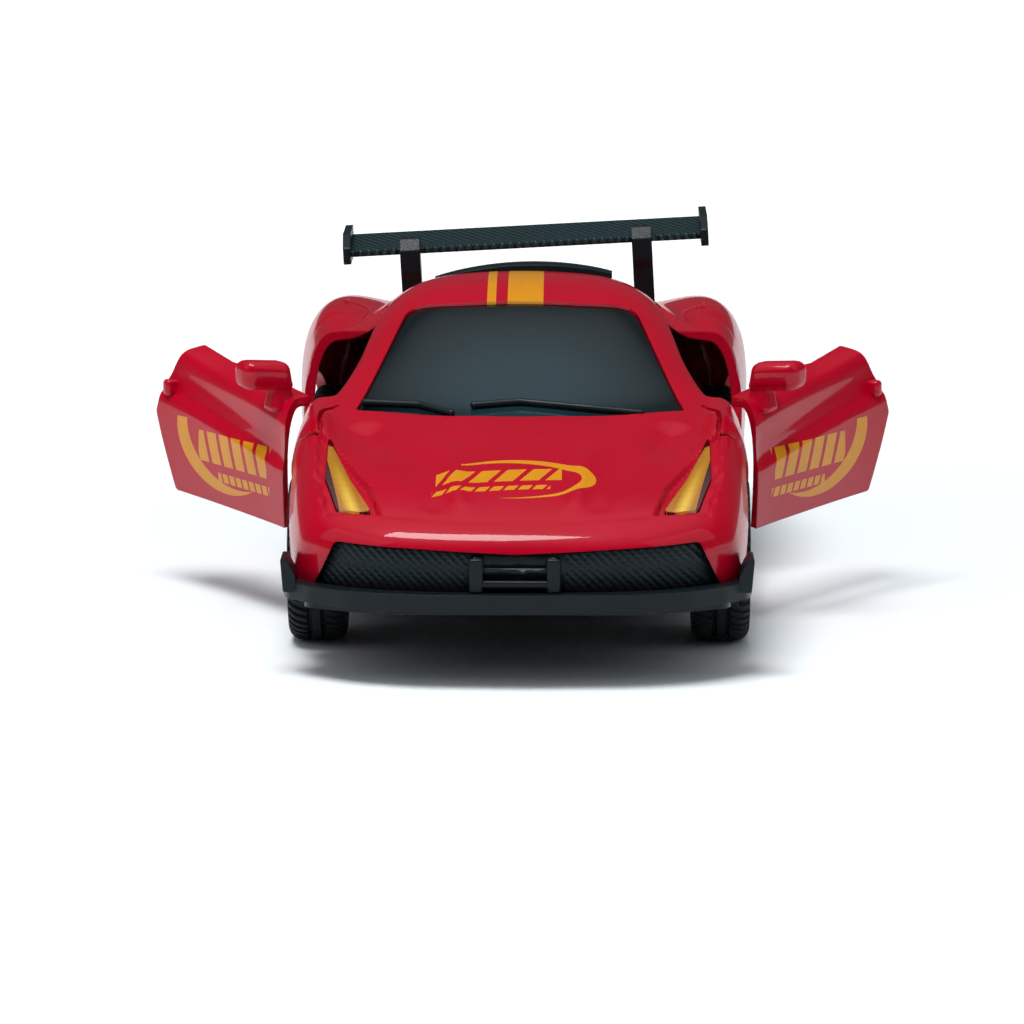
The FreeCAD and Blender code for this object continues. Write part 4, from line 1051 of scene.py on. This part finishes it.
def door_mirror():
    """The mirror head, its neck flared into the door, and the small catch tab at the back."""
    head = rounded_block(*MIRROR_HEAD, 1.15, segments=5)
    for v in head.data.vertices:
        x, _, z = v.co / MM
        outer = (x - MIRROR_HEAD[0][0]) / HEAD_W
        v.co.z += (0.35 * outer - 0.10) * MM
        v.co.y += 0.9 * outer * outer * MM
        if z < HEAD_TAPER_Z:
            v.co.x -= 0.5 * (HEAD_TAPER_Z - z) * (1 - outer) * MM
    neck = rounded_block(*MIRROR_NECK, 0.7)
    middle_x, middle_y = NECK_MIDDLE
    for v in neck.data.vertices:
        flare = 1 + 0.45 * max(0.0, (FLARE_Z - v.co.z / MM)) / FLARE_H
        v.co.y = (middle_y + (v.co.y / MM - middle_y) * flare) * MM
        v.co.x = (middle_x + (v.co.x / MM - middle_x) * flare) * MM
    tab = rounded_block(*CATCH_TAB, 0.5)
    return [head, neck, tab]


def door(name, side):
    """A door, built closed and then turned open about its hinge."""
    panel = wall(name, DOOR_WALL)
    low, high = sorted((side * DOOR_INNER_X, side * CLEAR_X))
    keep = prism(round_corners(DOOR, 0.7), "yz", low, high)
    combine(keep, [shut_cylinder(side, DOOR_SHUT_R + SHUT_GAP / 2)])
    combine(panel, [keep], "INTERSECT")
    for extra in door_mirror():
        if side < 0:
            extra.data.transform(Matrix.Scale(-1, 4, Vector((1, 0, 0))))
            extra.data.flip_normals()
        combine(panel, [extra], "UNION")
    smooth(panel)
    pivot = Vector((side * HINGE[0], HINGE[1], 0)) * MM
    turn = Matrix.Rotation(math.radians(-side * DOOR_OPEN), 4, "Z")
    panel.data.transform(Matrix.Translation(pivot) @ turn @ Matrix.Translation(-pivot))
    return panel


# ---- wheels ----
TREAD_BLOCKS = 52
TREAD_DEPTH = 0.34
TREAD_SKEW = 0.35
HALF_W = TYRE_W / 2
# From the inner bead to the middle: place across, radius, and whether the gaps in the tread cut it.
HALF_PROFILE = [
    (-HALF_W + 0.3, 6.3, False), (-HALF_W + 0.05, 6.5, False), (-HALF_W, 6.9, False),
    (-HALF_W + 0.12, 7.1, False), (-HALF_W, 7.3, False), (-HALF_W, 7.9, False),
    (-HALF_W + 0.15, 8.3, True), (-HALF_W + 0.5, 8.72, True), (-HALF_W + 1.0, 8.96, True),
    (-1.3, 9.0, True), (-1.0, 8.96, True), (-0.85, 8.5, False), (-0.5, 8.5, False),
    (-0.4, 9.0, False)]
TYRE_PROFILE = HALF_PROFILE + [(-a, r, cut) for a, r, cut in HALF_PROFILE[::-1]]
# Round one tread block and its gap: the share of the pitch, and whether it lies in the gap.
TREAD_STEPS = [(0.0, True), (0.10, False), (0.60, False), (0.70, True)]


def tyre(name, x, y):
    """A tyre with two rows of tread blocks and ringed side walls."""
    ring = []
    for k in range(TREAD_BLOCKS):
        for share, sunk in TREAD_STEPS:
            ring.append((2 * math.pi * (k + share) / TREAD_BLOCKS, sunk))
    verts = []
    for angle, sunk in ring:
        for a, r, cut in TYRE_PROFILE:
            turn = angle + (TREAD_SKEW * a / TREAD_BLOCKS if cut else 0.0) * 2 * math.pi
            radius = r - (TREAD_DEPTH if sunk and cut else 0.0)
            verts.append((x + a, y + radius * math.cos(turn), AXLE_Z + radius * math.sin(turn)))
    m, n = len(TYRE_PROFILE), len(ring)
    faces = []
    for k in range(n):
        for j in range(m):
            here, after, beside = k * m, (k + 1) % n * m, (j + 1) % m
            faces.append([here + j, here + beside, after + beside, after + j])
    return smooth(face_outwards(new_object(name, verts, faces)), 30)


def softened(node, name, width, segments=2):
    """A copy of a CAD piece with its hard edges rounded."""
    mesh = frame["nodes"][node].data.copy()
    bm = bmesh.new()
    bm.from_mesh(mesh)
    bmesh.ops.remove_doubles(bm, verts=bm.verts, dist=2e-6)
    bmesh.ops.dissolve_limit(bm, angle_limit=math.radians(0.6), verts=bm.verts, edges=bm.edges)
    bm.to_mesh(mesh)
    mesh.materials.clear()
    obj = linked(name, mesh)
    if width:
        edge = obj.modifiers.new("edges", "BEVEL")
        edge.width = width * MM
        edge.segments = segments
        edge.limit_method = "ANGLE"
        edge.angle_limit = math.radians(35)
        settle(obj)
    return smooth(obj, 35)


DUCT_POSTS_X = (-4.2, 3.8)
DUCT_POST_HALF_W = 0.75


def grille():
    """The net behind the nose opening, with the duct frame standing proud of it."""
    pieces = [softened("grille_insert", "net", 0.0)]
    for x in DUCT_POSTS_X:
        pieces.append(rounded_block((x - DUCT_POST_HALF_W, -60.25, 9.9),
                                    (x + DUCT_POST_HALF_W, -57.6, 13.6), 0.3))
    left, right = DUCT_POSTS_X
    pieces.append(rounded_block((left, -60.15, 10.5), (right, -58.0, 11.3), 0.25))
    return smooth(joined(pieces, "grille_moulded"), 40)


LIP_HALF_W = 10.2
LIP_COUNT = 41
# The lip's section: y, and the height above the crown.
LIP_SECTION = ((20.0, -1.2), (20.2, 0.2), (20.8, 0.42), (22.6, 0.38), (23.6, 0.0), (23.8, -1.4))


def engine_deck():
    """The louvred deck, with the raised lip across its front, just behind the roof."""
    deck = softened("engine_cover", "deck", 0.0)
    verts = []
    for k in range(LIP_COUNT):
        x = -LIP_HALF_W + 2 * LIP_HALF_W * k / (LIP_COUNT - 1)
        crown = 34.35 - 1.15 * (x / LIP_HALF_W) ** 2 + x * LEAN_SLOPE * 0.6
        # the lip sinks into the deck towards its ends
        rise = math.sqrt(max(0.0, 1 - (x / 10.8) ** 2))
        for y, z in LIP_SECTION:
            verts.append((x, y, crown + (z * rise if z > 0 else z)))
    lip = new_object("lip", verts, tube_faces(len(LIP_SECTION), LIP_COUNT))
    return smooth(joined([deck, lip], "engine_deck"), 40)


def place(obj, node, material):
    """Puts a piece in for a CAD node: on the same body, with the given material, and hides the node."""
    obj.data.materials.clear()
    obj.data.materials.append(material)
    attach(obj, BODY_OF[node])
    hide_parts(node)


# ---- the car ----
camera()
studio()
floor()
for node, obj in frame["nodes"].items():
    obj.data.materials.clear()
    obj.data.materials.append(FINISHES[SLOT_OF[node]])
place(body(), "body_shell", FINISHES["body_paint"])
for side_name, sign in (("left", 1), ("right", -1)):
    place(door("door_panel_" + side_name, sign), "door_" + side_name, DOOR_ENAMEL[sign])
for end, axle_y, track in (("front", FRONT_AXLE_Y, FRONT_TRACK), ("rear", REAR_AXLE_Y, REAR_TRACK)):
    for side_name, sign in (("left", 1), ("right", -1)):
        node = "tyre_%s_%s" % (end, side_name)
        place(tyre("treaded_" + node, sign * track / 2, axle_y), node, FINISHES["tyre_rubber"])
place(softened("rear_wing", "wing_moulded", 0.25, 3), "rear_wing", WING_FINISH)
place(grille(), "grille_insert", GRILLE_FINISH)
place(engine_deck(), "engine_cover", FINISHES["black_plastic"])
place(softened("front_splitter", "splitter_moulded", 0.12), "front_splitter", FINISHES["black_plastic"])
